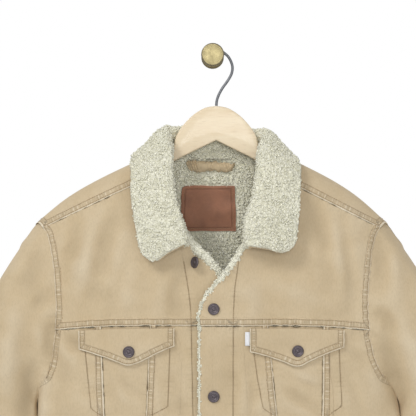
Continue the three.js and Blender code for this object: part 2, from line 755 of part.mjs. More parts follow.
function sleeveOval(sign, step, angle, depth) {
  const here = read(SLEEVE, 'step', step);
  const next = read(SLEEVE, 'step', Math.min(10, step + 0.05));
  const last = read(SLEEVE, 'step', Math.max(0, step - 0.05));
  const spot = (out, y, z) => new THREE.Vector3(centre(z) + sign * out, y, z);
  const middle = (row) => spot(row.outer, row.outerY, row.outerZ)
    .add(spot(row.inner, row.innerY, row.innerZ)).multiplyScalar(0.5);
  const outer = spot(here.outer, here.outerY, here.outerZ);
  const across = outer.clone().sub(spot(here.inner, here.innerY, here.innerZ)).multiplyScalar(0.5);
  const axis = middle(next).sub(middle(last)).normalize();
  const forward = across.clone().cross(axis).normalize();
  if (forward.y > 0) forward.negate();
  const cos = rootOf(Math.cos(radians(angle)), SLEEVE_SQUARE);
  const sin = rootOf(Math.sin(radians(angle)), SLEEVE_SQUARE);
  const half = across.length() - depth;
  const thick = here.thick / 2 - depth;
  return middle(here).addScaledVector(across.normalize(), half * cos).addScaledVector(forward, thick * sin);
}

// The armhole itself, k from 0 at the shoulder down the front, and back up behind.
function armholeSpot(sign, k, depth) {
  const isBack = k > ARM_ROWS;
  const row = isBack ? k - ARM_ROWS : ARM_ROWS - k;
  const [turn, z] = ARMHOLE_FRONT[row];
  const point = torsoPoint(sign * (isBack ? 180 - turn : turn), z, depth);
  point.x += sign * (GAP + 0.1);
  if (row === 0) point.z += GAP + depth;
  return point;
}

function sleeveFold(step, angle) {
  let rise = 0;
  for (const fold of SLEEVE_FOLDS) {
    const along = (step - fold.step) / fold.stepWidth;
    const round = (angle - fold.turn) / fold.turnWidth;
    rise += fold.height * Math.exp(-along * along - round * round);
  }
  return rise;
}

// A point of the cuff, along from the sleeve's end.
function cuffSpot(sign, angle, along, depth) {
  const middle = (step) => sleeveOval(sign, step, 0, 0).add(sleeveOval(sign, step, 180, 0));
  const down = middle(10).sub(middle(9.4)).normalize();
  return sleeveOval(sign, 10, angle, depth).addScaledVector(down, along);
}

// A sleeve has a top piece, from the underarm over the front and round the outer line, and an under
// piece behind it. They meet at the underarm and at a seam some armhole rows behind the outer line.
const SLEEVE_SEAM = -2;
const SLEEVE_PIECES = table('name first last', [
  ['top_sleeve', SLEEVE_SEAM, ARM_ROWS],
  ['under_sleeve', ARM_ROWS, 2 * ARM_ROWS + SLEEVE_SEAM],
]);

function sleevePoint(sign, step, column, depth) {
  const k = (column + 2 * ARM_ROWS) % (2 * ARM_ROWS);
  const angle = armAngle(k);
  const shift = armholeSpot(sign, k, depth).sub(sleeveOval(sign, 0, angle, depth));
  const rise = sleeveFold(step, angle) * ease(step / 1.2);
  return sleeveOval(sign, step, angle, depth - rise).addScaledVector(shift, 1 - ease(step / ARM_BLEND));
}

// A row of points with both its ends drawn back from the seams that they lie on.
function drawnBack(row) {
  const ends = [[row[0], row[1]], [row[row.length - 1], row[row.length - 2]]];
  const ways = ends.map(([end, next]) => next.clone().sub(end).normalize());
  ends.forEach(([end], i) => end.addScaledVector(ways[i], HALF_GAP + 0.02));
  return row;
}

for (const side of SIDES) {
  const { sign } = side;
  for (const { name, first, last } of SLEEVE_PIECES) {
    const face = (depth) => {
      const rows = [];
      for (let i = 0; i <= SLEEVE_ROWS; i += 1) {
        const step = 10 * (i / SLEEVE_ROWS) ** 1.15;
        const row = [];
        for (let k = first; k <= last; k += 1) row.push(sleevePoint(sign, step, k, depth));
        rows.push(drawnBack(row));
      }
      return rows;
    };
    add(`${name}_${side.name}`, 'cotton', wall(face(0), face(CLOTH)));
  }

  const cuffRing = (along, depth) => {
    const row = [];
    for (let k = 0; k < 2 * ARM_ROWS; k += 1) row.push(cuffSpot(sign, armAngle(k), along, depth));
    return row;
  };
  const cuffFace = (depth) => [GAP + 0.2, CUFF_LONG / 2, CUFF_LONG].map((along) => cuffRing(along, depth));
  add(`cuff_${side.name}`, 'cotton', wall(cuffFace(-0.8), cuffFace(3), true));
}

// Collar: stations from the right front end round the back of the neck to the left front end.
// Each has the neck seam it stands on, the top of its roll and the outer edge of its fall.

const COLLAR = table('neckX neckY neckZ rollX rollY rollZ edgeX edgeY edgeZ', [
  [-35, -95.5, -275, -35, -106.5, -270.5, -78, -99.5, -296],
  [-40, -94.5, -263, -36, -106.5, -258, -93, -98.5, -291],
  [-46, -93.5, -249, -39.5, -107, -243, -101.5, -98, -277],
  [-57, -92, -228, -45.5, -106, -226, -107, -96, -253],
  [-65, -89, -206, -51, -103, -205, -111, -94, -229],
  [-71, -85.5, -186, -54.5, -98, -185, -114, -89, -202],
  [-76, -79, -165, -56, -90, -160, -115.5, -79, -175],
  [-74, -61, -138, -56.5, -74, -133, -113.5, -56, -149],
  [-78, -40, -134, -64.5, -48, -106, -104, -24, -152],
  [-56, -26, -143.5, -45, -29, -102.5, -74, -12, -163],
  [5, -22.5, -149.8, 5, -23, -101.5, 5, -10, -166],
  [66, -26, -143.5, 55, -29, -106, 85, -12, -163],
  [88, -40, -134, 74, -48, -110, 110, -24, -154],
  [84, -61, -138, 64, -74, -133, 120.5, -56, -150],
  [86, -79, -165, 61.5, -90, -161, 124, -79, -170],
  [82, -85.5, -186, 58, -98, -187, 123.5, -89, -195],
  [76, -89.5, -207, 53.5, -104, -209, 121.5, -95, -218],
  [68, -93.5, -229, 46.5, -108, -229, 119.5, -99, -241],
  [57, -96, -250, 43, -110, -247, 116.5, -101, -262],
  [51, -97.5, -266, 43, -110, -262.5, 112, -102.5, -276],
  [46, -99, -279, 44, -110.5, -275, 97, -103.5, -284],
]);
const COLLAR_PILE = 6;
const COLLAR_BACKING = 2;
const ROLL_RADIUS = 4.5;
const COLLAR_STATIONS = 30;
const FALL_STEPS = [0.3, 0.62, 1];
const FALL_BULGE = 3.5;

function smoothLine(prefix) {
  const points = COLLAR.map((row) =>
    new THREE.Vector3(row[`${prefix}X`], row[`${prefix}Y`], row[`${prefix}Z`]));
  const curve = new THREE.CatmullRomCurve3(points);
  return (t) => curve.getPoint(t);
}
const [neckLine, rollLine, edgeLine] = ['neck', 'roll', 'edge'].map(smoothLine);

// One section of the collar, a line moved out by some distance from its middle line.
function collarSection(t, out) {
  const [neck, roll, edge] = [neckLine(t), rollLine(t), edgeLine(t)];
  const inward = neck.clone().add(edge).multiplyScalar(0.5).sub(roll).normalize();
  const aside = edge.clone().sub(neck);
  aside.addScaledVector(inward, -aside.dot(inward)).normalize();
  const flat = (point) => {
    const from = point.clone().sub(roll);
    return new THREE.Vector2(from.dot(inward), from.dot(aside));
  };
  const turnAt = ROLL_RADIUS + COLLAR_PILE;
  const [n, e] = [flat(neck), flat(edge)];
  const line = [n];
  const arc = [-90, -30, 30, 90].map((angle) => new THREE.Vector2(
    turnAt - ROLL_RADIUS * Math.cos(radians(angle)),
    ROLL_RADIUS * Math.sin(radians(angle)),
  ));
  line.push(n.clone().lerp(arc[0], 0.5), ...arc);
  for (const share of FALL_STEPS) {
    const fall = arc[3].clone().lerp(e, share);
    fall.y += FALL_BULGE * Math.sin(Math.PI * share);
    line.push(fall);
  }
  return line.map((point, i) => {
    const before = line[Math.max(0, i - 1)];
    const after = line[Math.min(line.length - 1, i + 1)];
    const along = after.clone().sub(before).normalize();
    const moved = point.clone().add(new THREE.Vector2(-along.y, along.x).multiplyScalar(out));
    return roll.clone().addScaledVector(inward, moved.x).addScaledVector(aside, moved.y);
  });
}

function collarFace(out) {
  const rows = [];
  for (let i = 0; i <= COLLAR_STATIONS; i += 1) rows.push(collarSection(i / COLLAR_STATIONS, out));
  return rows;
}
add('collar_pile', 'pile', wall(collarFace(COLLAR_PILE), collarFace(0)));
add('collar_backing', 'cotton', wall(collarFace(-GAP), collarFace(-GAP - COLLAR_BACKING)));

// Pocket flaps, blank tab and what lies on the panels, raised clear of the felled seams.

const FLAP_LIFT = FELL_RISE + 0.9;
const FLAP_THICK = 2.6;
const TAB_THICK = 0.8;
const FLAPS = table('sign inner outer top innerZ outerZ tipX tipZ', [
  [1, 52.7, 186.4, -391.5, -424.6, -418.9, 120.4, -446],
  [-1, -54.4, -189.9, -391.5, -417, -421.7, -116.4, -446],
]);

function onPanel(x, z, depth, lift, lap) {
  return foldedCloth(frontTurn(x, z), z, 0, lift - depth, lap);
}

function flapSpot(flap, u, v) {
  const x = mix(flap.inner, flap.outer, u);
  const tipShare = (flap.tipX - flap.inner) / (flap.outer - flap.inner);
  const corner = u < tipShare ? flap.innerZ : flap.outerZ;
  const toTip = u < tipShare ? u / tipShare : (1 - u) / (1 - tipShare);
  const low = mix(corner, flap.tipZ, toTip ** 1.15);
  const top = flap.top - YOKE_SEAM_DROP * Math.abs(x / 224.5) ** 4;
  return [x, mix(low, top, v)];
}

SIDES.forEach((side, i) => {
  const flap = FLAPS[i];
  const across = [0, 0.12, 0.25, 0.38, 0.5, 0.62, 0.75, 0.88, 1];
  const face = (lift) => [0, 0.28, 0.62, 1].map((v) => across.map((u) => {
    const [x, z] = flapSpot(flap, u, v);
    return onPanel(x, z, 0, lift, side.lap);
  }));
  add(`pocket_flap_${side.name}`, 'cotton', wall(face(FLAP_LIFT + FLAP_THICK), face(FLAP_LIFT)));
});

{
  const face = (lift) => [-416, -396.3].map((z) => [45.8, 49, 52.3].map((x) =>
    onPanel(x, z, 0, lift, 1)));
  add('blank_tab', 'label', wall(face(FLAP_LIFT + TAB_THICK), face(FLAP_LIFT)));
}

// Buttons: a rim, a sunk ring and a middle boss, turned to lie along the cloth.

const BUTTON_PROFILE = [[0, 0], [1, 0], [1, 0.7], [0.84, 1], [0.58, 0.72], [0, 0.86]];
const BUTTON_SIDES = 12;

function button(name, point, normal) {
  const outline = BUTTON_PROFILE.map(([r, h]) =>
    new THREE.Vector2(r * BUTTON_RADIUS, h * BUTTON_THICK));
  const mesh = add(name, 'gunmetal', new THREE.LatheGeometry(outline, BUTTON_SIDES));
  mesh.position.copy(point);
  mesh.quaternion.setFromUnitVectors(new THREE.Vector3(0, 1, 0), normal);
}

function buttonOnFront(name, x, z, lift, lap) {
  const turn = frontTurn(x, z);
  const normal = torsoNormal(turn, z);
  button(name, foldedCloth(turn, z, 0, lift, lap), normal);
}

const BUTTON_LIFT = 0.5;
FRONT_BUTTON_Z.forEach((z, i) => {
  const onBand = z < HEM_TOP;
  buttonOnFront(`front_button_${i + 2}`, FRONT_BUTTON_X, z, BUTTON_LIFT + (onBand ? 0.8 : 0), 1);
});
{
  const normal = new THREE.Vector3(-0.8, -0.6, 0.1).normalize();
  button('front_button_1', new THREE.Vector3(-25, -93.7, -298), normal);
}
buttonOnFront('pocket_button_left', 120.4, -423.6, FLAP_LIFT + FLAP_THICK + BUTTON_LIFT, 1);
buttonOnFront('pocket_button_right', -118.7, -424.6, FLAP_LIFT + FLAP_THICK + BUTTON_LIFT, -1);

for (const side of SIDES) {
  const spot = cuffSpot(side.sign, 90, CUFF_LONG / 2, -0.8 - BUTTON_LIFT);
  const near = cuffSpot(side.sign, 90, CUFF_LONG / 2, 4);
  button(`cuff_button_${side.name}`, spot, spot.clone().sub(near).normalize());
}

// Gathered hanging loop and bare leather patch, on the lining below the back of the neck.

// A point on the back lining, lifted off its pile.
function onLining(x, z, lift) {
  return liningPlace(0)(turnOf(x, z, true), z, PILE + lift);
}

// The loop is a flat tube, full in its middle height, that hangs lower between its sewn ends.
const LOOP = table('x top bottom', [
  [-48, -152.3, -155.5],
  [-44, -152.2, -161],
  [-37, -152.4, -166],
  [-27, -152.7, -168.3],
  [-14, -153, -167.2],
  [0, -153.4, -166.6],
  [13, -154.2, -168],
  [24, -155.2, -168.6],
  [32, -156.2, -166],
  [38, -156, -159.2],
]);
const LOOP_AIR = 1; // least air behind the loop
const LOOP_EDGE = 1.4;
const LOOP_FULL = 5.4;
{
  const face = (share) => [0, 0.27, 0.73, 1].map((v) => LOOP.map(({ x, top, bottom }) => {
    const thick = mix(LOOP_EDGE, LOOP_FULL, Math.sin(Math.PI * v));
    return onLining(x, mix(bottom, top, v), LOOP_AIR + share * thick);
  }));
  add('hanging_loop', 'cotton', wall(face(1), face(0)));
}

const PATCH = { left: -49, right: 35.5, top: -188.5, bottom: -254.5, corner: 7, air: 0.6, thick: 1.6 };
{
  const face = (lift) => [0, 0.5, 0.89, 1].map((v) => [0, 0.089, 0.36, 0.68, 1].map((u) => {
    const cut = v === 1 && u === 0 ? PATCH.corner * 0.3 : 0;
    const z = mix(PATCH.bottom, PATCH.top, v) - cut;
    return onLining(mix(PATCH.left, PATCH.right, u) + cut, z, lift);
  }));
  add('leather_patch', 'leather', wall(face(PATCH.air + PATCH.thick), face(PATCH.air)));
}

// Wooden hanger, its hook, and the knob on the wall.

const HANGER_X = 5;
const WOOD_THICK = 12;
const WOOD_ROUND = 2.6;
const WOOD_TOP = table('out z', [
  [0, -73.7],
  [10, -74.6],
  [19.5, -77.4],
  [35.8, -88],
  [50.3, -104.2],
  [58, -117],
  [60, -125],
  [62.5, -136.5],
  [69, -147],
  [76, -155.5],
]);
const WOOD_END = 212;
const WOOD_BELOW = table('out z', [
  [0, -123.5],
  [61.5, -153.2],
  [72, -161.5],
  [80, -169],
  [105, -186],
  [150, -210],
  [190, -233],
  [206, -245],
]);
{
  const ridgeRun = [86, 105, 130, 155, 178, 196];
  const armTop = (out) => {
    const slope = (ridgeZ(out - 3) - ridgeZ(out + 3)) / 6;
    return ridgeZ(out) - (LAYERS + RIDGE_AIR + 4) * Math.hypot(1, slope);
  };
  const half = [
    ...WOOD_TOP.map(({ out, z }) => [out, z]),
    ...ridgeRun.map((out) => [out, armTop(out)]),
    [WOOD_END - 4, armTop(WOOD_END - 4)],
    [WOOD_END, armTop(WOOD_END) - 8],
    ...WOOD_BELOW.map(({ out, z }) => [out, z]).reverse(),
  ];
  const middle = (z) => Math.min(HANGER_X, centre(z));
  const left = half.map(([out, z]) => new THREE.Vector2(middle(z) + out, z));
  const right = half.slice(1, -1).map(([out, z]) => new THREE.Vector2(middle(z) - out, z)).reverse();
  const shape = new THREE.Shape([...left, ...right]);
  const geometry = new THREE.ExtrudeGeometry(shape, {
    depth: WOOD_THICK - 2 * WOOD_ROUND,
    bevelThickness: WOOD_ROUND,
    bevelSize: WOOD_ROUND,
    bevelOffset: -WOOD_ROUND,
    bevelSegments: 2,
  });
  geometry.rotateX(Math.PI / 2);
  geometry.translate(0, MIDDLE_Y + WOOD_THICK / 2 - WOOD_ROUND, 0);
  add('hanger_wood', 'wood', geometry);
}

const HOOK_PATH = [
  [-6, 12.6], [0, 13.9], [6, 12.8], [14.2, 5.1], [22.9, -2.8], [27.8, -12.9], [28.7, -18.7],
  [27.1, -27.4], [21.4, -37.6], [14.2, -47.6], [8.6, -58], [6, -66], [5.4, -73.2],
];
{
  const curve = new THREE.CatmullRomCurve3(HOOK_PATH.map(([x, z]) => new THREE.Vector3(x, MIDDLE_Y, z)));
  const outline = new THREE.Shape();
  outline.absarc(0, 0, WIRE_RADIUS, 0, 2 * Math.PI);
  const geometry = new THREE.ExtrudeGeometry(outline, { steps: 28, curveSegments: 4, extrudePath: curve });
  add('hanger_hook', 'steel', geometry);
}

{
  const neckFront = KNOB_FRONT_Y + KNOB_HEAD_THICK;
  const outline = [
    [0, 0], [KNOB_RADIUS + 3, 0], [KNOB_RADIUS + 3, -2.5], [KNOB_NECK_RADIUS, -5],
    [KNOB_NECK_RADIUS, neckFront], [KNOB_RADIUS, neckFront - 1.5], [KNOB_RADIUS, KNOB_FRONT_Y + 1.2],
    [KNOB_RADIUS - 1.2, KNOB_FRONT_Y], [0, KNOB_FRONT_Y],
  ].map(([r, y]) => new THREE.Vector2(r, -y));
  const geometry = new THREE.LatheGeometry(outline, 28);
  const mesh = add('wall_knob', 'brass', geometry);
  mesh.rotation.x = Math.PI;
}

export default jacket;
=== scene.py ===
"""Sherpa lined jacket on a wooden hanger: the looks of every piece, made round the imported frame."""

import math

import bmesh
import bpy
import numpy as np
from bpy.props import FloatProperty, FloatVectorProperty, IntProperty, PointerProperty
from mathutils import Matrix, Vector, noise
from mathutils.bvhtree import BVHTree
from mathutils.kdtree import KDTree


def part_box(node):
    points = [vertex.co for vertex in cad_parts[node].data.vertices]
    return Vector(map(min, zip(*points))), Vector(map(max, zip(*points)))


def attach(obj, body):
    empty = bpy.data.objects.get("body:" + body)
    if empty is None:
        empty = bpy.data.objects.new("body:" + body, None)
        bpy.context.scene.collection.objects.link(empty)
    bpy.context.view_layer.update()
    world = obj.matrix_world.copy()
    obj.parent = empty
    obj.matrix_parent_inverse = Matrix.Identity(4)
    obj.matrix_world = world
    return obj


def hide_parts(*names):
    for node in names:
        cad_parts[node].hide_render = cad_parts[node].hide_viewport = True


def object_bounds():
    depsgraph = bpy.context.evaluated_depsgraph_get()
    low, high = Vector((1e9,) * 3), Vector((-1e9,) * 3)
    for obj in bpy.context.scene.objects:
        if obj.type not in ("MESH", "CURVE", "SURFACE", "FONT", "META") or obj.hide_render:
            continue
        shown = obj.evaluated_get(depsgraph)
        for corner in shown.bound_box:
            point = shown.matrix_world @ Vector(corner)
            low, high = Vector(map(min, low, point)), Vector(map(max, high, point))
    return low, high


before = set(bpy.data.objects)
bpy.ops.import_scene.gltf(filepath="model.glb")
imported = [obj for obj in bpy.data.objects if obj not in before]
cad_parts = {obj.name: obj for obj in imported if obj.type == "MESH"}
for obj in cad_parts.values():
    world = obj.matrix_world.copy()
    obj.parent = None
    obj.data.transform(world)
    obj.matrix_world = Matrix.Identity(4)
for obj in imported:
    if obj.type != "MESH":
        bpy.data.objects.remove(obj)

bl_info = {
    "name": "Sherpa lined jacket",
    "version": (1, 0, 0),
    "blender": (4, 5, 0),
    "location": "View3D > Sidebar > Jacket",
    "description": "Cloth, pile, stitching, hanger and knob of a sherpa lined jacket",
    "category": "Object",
}

MM = 0.001
CAD_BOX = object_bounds()
MIDDLE = Vector((0.003, -0.046, 0.0))  # upright line through the middle of the body, in metres
HEM_TOP = -811.0
SIDES = (("left", 1), ("right", -1))


def from_srgb(*values):
    """Linear colour of a colour that is given as it looks, from 0 to 255."""
    shares = [v / 255 for v in values]
    return tuple(s / 12.92 if s <= 0.04045 else ((s + 0.055) / 1.055) ** 2.4 for s in shares)


def mix(a, b, t):
    return a + (b - a) * t


# Sizes and colours that a user would change


def colour(name, text, value):
    return FloatVectorProperty(name=name, description=text, default=from_srgb(*value),
                               subtype="COLOR", size=3, min=0, max=1)


def length(name, text, value):
    return FloatProperty(name=name, description=text, default=value * MM, unit="LENGTH",
                         subtype="DISTANCE", precision=5)


class JacketCloth(bpy.types.PropertyGroup):
    canvas: colour("Canvas", "Colour of the cotton canvas", (212, 194, 163))
    # Canvas shade is the darker tone of the cloth's random mottling; darkened further, it is the painted shade in
    # the folds, the pucker hollows, the stitch grooves and under the felled seams.
    canvas_shade: colour("Canvas shade", "Colour of its darker, dirtier parts", (196, 174, 138))
    # Worn is the colour of the worn folded edges; it is also painted on the ridges of the folds and the tops of
    # the puckers, as wear and as painted highlight.
    worn: colour("Worn edge", "Colour of the cotton where its folded edges are worn", (232, 223, 203))
    thread: colour("Thread", "Colour of the sewing thread", (150, 120, 84))
    waves: length("Waves", "Height of the soft waves all over the cloth", 1.6)
    folds: FloatProperty(name="Folds", description="Depth of the creases against the measured ones",
                         default=1.15, min=0, max=3)
    pucker: length("Pucker", "Height of the small folds across each seam", 0.55)
    pitch: length("Stitch", "Distance from one stitch to the next", 3.1)
    stitch_width: length("Stitch width", "Width of a stitch", 0.62)


class JacketPile(bpy.types.PropertyGroup):
    light: colour("Pile", "Colour of the tips of the pile", (250, 248, 232))
    # Pile shade is painted shade deep between the nubs and in the cracks; on the curls it is also the darker end
    # of their random tone.
    deep: colour("Pile shade", "Colour deep in the pile", (214, 211, 184))
    nub: length("Nub", "Size of one nub of the pile", 4.4)
    rise: length("Nub height", "Height of a nub on the pile", 1.2)
    curls: IntProperty(name="Curls", description="Curls on a square decimetre of pile",
                       default=900, min=0)
    seed: IntProperty(name="Seed", description="Seed of the places of the curls", default=7)


class JacketTrim(bpy.types.PropertyGroup):
    leather: colour("Leather", "Colour of the leather patch", (162, 112, 86))
    metal: colour("Buttons", "Colour of the buttons", (112, 104, 108))
    beech: colour("Beech", "Colour of the wooden hanger", (238, 223, 194))
    beech_grain: colour("Beech grain", "Colour of the grain of the hanger", (220, 196, 160))
    brass: colour("Brass", "Colour of the wall knob", (184, 171, 128))
    button_radius: length("Button radius", "Radius of a button", 8.4)


class JacketStage(bpy.types.PropertyGroup):
    distance: FloatProperty(name="Camera distance", description="From the camera to the cloth",
                            default=2.6, unit="LENGTH")
    view_width: FloatProperty(name="View width", description="Width of the view at the cloth",
                              default=0.5907, unit="LENGTH")
    view_x: FloatProperty(name="View middle", description="Place of the view's middle across",
                          default=-0.0067, unit="LENGTH")
    view_z: FloatProperty(name="View height", description="Height of the view's middle",
                          default=-0.2208, unit="LENGTH")


# Small mesh and line helpers. Lines and points are in millimetres


def ripple(points, size, seed, count=9):
    """A smooth irregular wave from -1 to 1 at each point, with swells of about the given size."""
    rng = np.random.default_rng(seed)
    ways = rng.normal(size=(count, points.shape[1]))
    ways /= np.linalg.norm(ways, axis=1)[:, None]
    ways *= (2 * math.pi / size) * rng.uniform(0.6, 1.4, count)[:, None]
    phases = rng.uniform(0, 2 * math.pi, count)
    return np.sin(points @ ways.T + phases).sum(axis=1) / math.sqrt(count / 2) / 1.6


def resample(line, step):
    """Points at an even step along a line."""
    line = np.asarray(line, float)
    gone = np.concatenate([[0], np.cumsum(np.linalg.norm(np.diff(line, axis=0), axis=1))])
    count = max(2, int(round(gone[-1] / step)) + 1)
    places = np.linspace(0, gone[-1], count)
    return np.stack([np.interp(places, gone, line[:, k]) for k in range(line.shape[1])], axis=1)


def measure_to(points, line):
    """Distance of each point from a line, how far along the line that is, and its side of it,
    which is told for a flat line alone. The fourth result is the nearest place on the line."""
    start, end = line[:-1], line[1:]
    way = end - start
    size = np.maximum((way ** 2).sum(axis=1), 1e-9)
    before = np.concatenate([[0], np.cumsum(np.sqrt(size))])[:-1]
    found = np.full(len(points), 1e9)
    along = np.zeros(len(points))
    side = np.ones(len(points))
    foot = np.zeros_like(points, float)
    for first in range(0, len(points), 4000):
        some = points[first:first + 4000]
        t = np.clip(((some[:, None] - start) * way).sum(axis=2) / size, 0, 1)
        gap = some[:, None] - (start + t[..., None] * way)
        d = np.sqrt((gap ** 2).sum(axis=2))
        best = d.argmin(axis=1)
        rows = np.arange(len(some))
        found[first:first + 4000] = d[rows, best]
        along[first:first + 4000] = before[best] + t[rows, best] * np.sqrt(size[best])
        across = gap[rows, best]
        foot[first:first + 4000] = some - across
        if line.shape[1] == 2:
            turn = way[best, 0] * across[:, 1] - way[best, 1] * across[:, 0]
            side[first:first + 4000] = np.where(turn < 0, -1, 1)
    return found, along, side, foot


def places_of(mesh):
    """Places of a mesh's points, in millimetres."""
    place = np.zeros(len(mesh.vertices) * 3, np.float32)
    mesh.vertices.foreach_get("co", place)
    return place.reshape(-1, 3).astype(float) / MM


def new_piece(name, mesh, look, replaced=()):
    """Puts a finished mesh in the scene as a piece of the jacket."""
    piece = bpy.data.objects.new(name, mesh)
    bpy.context.scene.collection.objects.link(piece)
    mesh.materials.clear()
    mesh.materials.append(look)
    mesh.polygons.foreach_set("use_smooth", [True] * len(mesh.polygons))
    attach(piece, "root")
    if replaced:
        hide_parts(*replaced)
    return piece


def frozen(piece):
    """Plain mesh of an object with its modifiers in it. The object itself is taken away."""
    graph = bpy.context.evaluated_depsgraph_get()
    graph.update()
    made = bpy.data.meshes.new_from_object(piece.evaluated_get(graph), depsgraph=graph)
    bpy.data.objects.remove(piece)
    return made


def loose_object(name, mesh):
    piece = bpy.data.objects.new(name, mesh)
    bpy.context.scene.collection.objects.link(piece)
    return piece


SHARP = math.radians(50)


class Wall:
    """A node's wall made fine: its points, which of them lie on the face that shows, and the
    lines round that face. Facing tells the face that shows from the one behind it. Behind is a
    node that lies on the hidden face, for a wall that is rolled over."""

    def __init__(self, node, levels, facing=None, arm=0, behind=None):
        self.node = node
        self.arm = arm  # 1 on the left sleeve, -1 on the right one
        form = bmesh.new()
        form.from_mesh(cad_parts[node].data)
        bmesh.ops.remove_doubles(form, verts=form.verts, dist=1e-6)
        bmesh.ops.join_triangles(form, faces=form.faces, angle_face_threshold=SHARP,
                                 angle_shape_threshold=math.radians(80))
        self.mark(form, facing)
        if behind:
            self.mark_away(form, behind)
        mesh = bpy.data.meshes.new(node)
        form.to_mesh(mesh)
        form.free()
        coarse = loose_object(node + "_coarse", mesh)
        rounding = coarse.modifiers.new("Round", "SUBSURF")
        rounding.levels = rounding.render_levels = levels
        self.settle(coarse)
        self.mesh = frozen(coarse)
        self.read()

    def settle(self, coarse):
        """Moves the coarse points out until the rounded wall passes through where they were."""
        mesh = coarse.data
        goal = places_of(mesh)
        place = goal.copy()
        graph = bpy.context.evaluated_depsgraph_get()
        for _ in range(2):
            graph.update()
            round_one = bpy.data.meshes.new_from_object(coarse.evaluated_get(graph), depsgraph=graph)
            place += goal - places_of(round_one)[:len(goal)]
            bpy.data.meshes.remove(round_one)
            mesh.vertices.foreach_set("co", (place * MM).astype(np.float32).ravel())
            mesh.update()

    def mark(self, form, facing):
        """Creases the sharp edges and marks the points of the face that shows."""
        crease = form.edges.layers.float.new("crease_edge")
        outer = form.verts.layers.float.new("outer")
        for edge in form.edges:
            edge[crease] = 1.0 if edge.calc_face_angle(math.pi) > SHARP else 0.0
        left = set(form.faces)
        groups = []
        while left:
            group = [left.pop()]
            for face in group:
                for edge in face.edges:
                    if edge[crease] == 0.0:
                        fresh = [other for other in edge.link_faces if other in left]
                        left.difference_update(fresh)
                        group.extend(fresh)
            groups.append(group)
        groups.sort(key=lambda group: sum(face.calc_area() for face in group))
        best = groups[-1]
        if facing is not None and len(groups) > 1:
            best = max(groups[-2:], key=lambda group: sum(
                face.normal.dot(facing(face.calc_center_median())) * face.calc_area()
                for face in group))
        for face in best:
            for vert in face.verts:
                vert[outer] = 1.0

    def mark_away(self, form, behind):
        """Marks the points that lie off the node behind the wall as the face that shows."""
        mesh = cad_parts[behind].data
        back = BVHTree.FromPolygons([v.co for v in mesh.vertices], [p.vertices for p in mesh.polygons])
        outer = form.verts.layers.float["outer"]
        for vert in form.verts:
            vert[outer] = 1.0 if back.find_nearest(vert.co)[3] > 3 * MM else 0.0

    def read(self):
        self.points = places_of(self.mesh)
        outer = np.zeros(len(self.points), np.float32)
        self.mesh.attributes["outer"].data.foreach_get("value", outer)
        self.shown = outer > 0.999
        self.outer = outer
        self.read_normals()
        self.loops = self.border()

    def read_normals(self):
        normal = np.zeros(len(self.mesh.vertices) * 3, np.float32)
        self.mesh.vertex_normals.foreach_get("vector", normal)
        self.normals = normal.reshape(-1, 3).astype(float)

    def border(self):
        """Loops of points round the face that shows, with the face on their left."""
        after = {}
        for polygon in self.mesh.polygons:
            ring = list(polygon.vertices)
            if all(self.shown[v] for v in ring):
                for a, b in zip(ring, ring[1:] + ring[:1]):
                    after[(a, b)] = True
        rim = dict(pair for pair in after if (pair[1], pair[0]) not in after)
        loops = []
        while rim:
            first, here = rim.popitem()
            loop = [first]
            while here != first and here in rim:
                loop.append(here)
                here = rim.pop(here)
            loops.append(np.array(loop))
        return sorted(loops, key=len, reverse=True)

    def corner(self, loop, hint):
        """Place in a loop of the sharpest corner near a hint."""
        spots = self.points[loop]
        ahead = np.roll(spots, -2, axis=0) - spots
        behind = spots - np.roll(spots, 2, axis=0)
        turn = (ahead * behind).sum(axis=1) / np.maximum(
            np.linalg.norm(ahead, axis=1) * np.linalg.norm(behind, axis=1), 1e-9)
        away = np.linalg.norm(spots[:, [0, 2]] - np.array(hint, float), axis=1)
        near = away < away.min() + 16
        return int(np.where(near, turn + away / 60, 9).argmin())

    def side(self, start, end, through):
        """Line along the border from one corner to another, by the way that passes a hint."""
        loop = min(self.loops, key=lambda ring: np.linalg.norm(
            self.points[ring][:, [0, 2]] - np.array(start, float), axis=1).min())
        a, b = self.corner(loop, start), self.corner(loop, end)
        count = len(loop)
        ways = [[(a + k) % count for k in range((b - a) % count + 1)],
                [(a - k) % count for k in range((a - b) % count + 1)]]
        hint = np.array(through, float)
        best = min(ways, key=lambda way: np.linalg.norm(
            self.points[loop[way]][:, [0, 2]] - hint, axis=1).min())
        return self.points[loop[best]].copy()

    def write(self):
        self.mesh.vertices.foreach_set("co", (self.points * MM).astype(np.float32).ravel())
        self.mesh.update()
        self.read_normals()

    def store(self, name, values):
        found = self.mesh.attributes.get(name) or self.mesh.attributes.new(name, "FLOAT", "POINT")
        found.data.foreach_set("value", np.asarray(values, np.float32))

    def tree(self):
        """Search tree of the face that shows."""
        rings = [list(p.vertices) for p in self.mesh.polygons
                 if all(self.shown[v] for v in p.vertices)]
        return BVHTree.FromPolygons([Vector(p) for p in self.points], rings)


def outward(centre):
    """Way out of the body at a point."""
    return Vector((centre.x - MIDDLE.x, centre.y - MIDDLE.y, 0))


def to_front(centre):
    return Vector((0, -1, 0))


def out_of_arm(sign):
    """Way out of a sleeve at a point, from the line down its middle."""
    heights, places = zip(*ARM_MIDDLE)

    def way(centre):
        middle = sign * np.interp(centre.z / MM, heights, places) * MM
        return Vector((centre.x - middle, centre.y - MIDDLE.y, 0))
    return way


# The folds of the worn cloth: soft troughs and ridges, each along a path seen from the front or the
# back. The paths are x and z. Everything that lies on a face moves with them

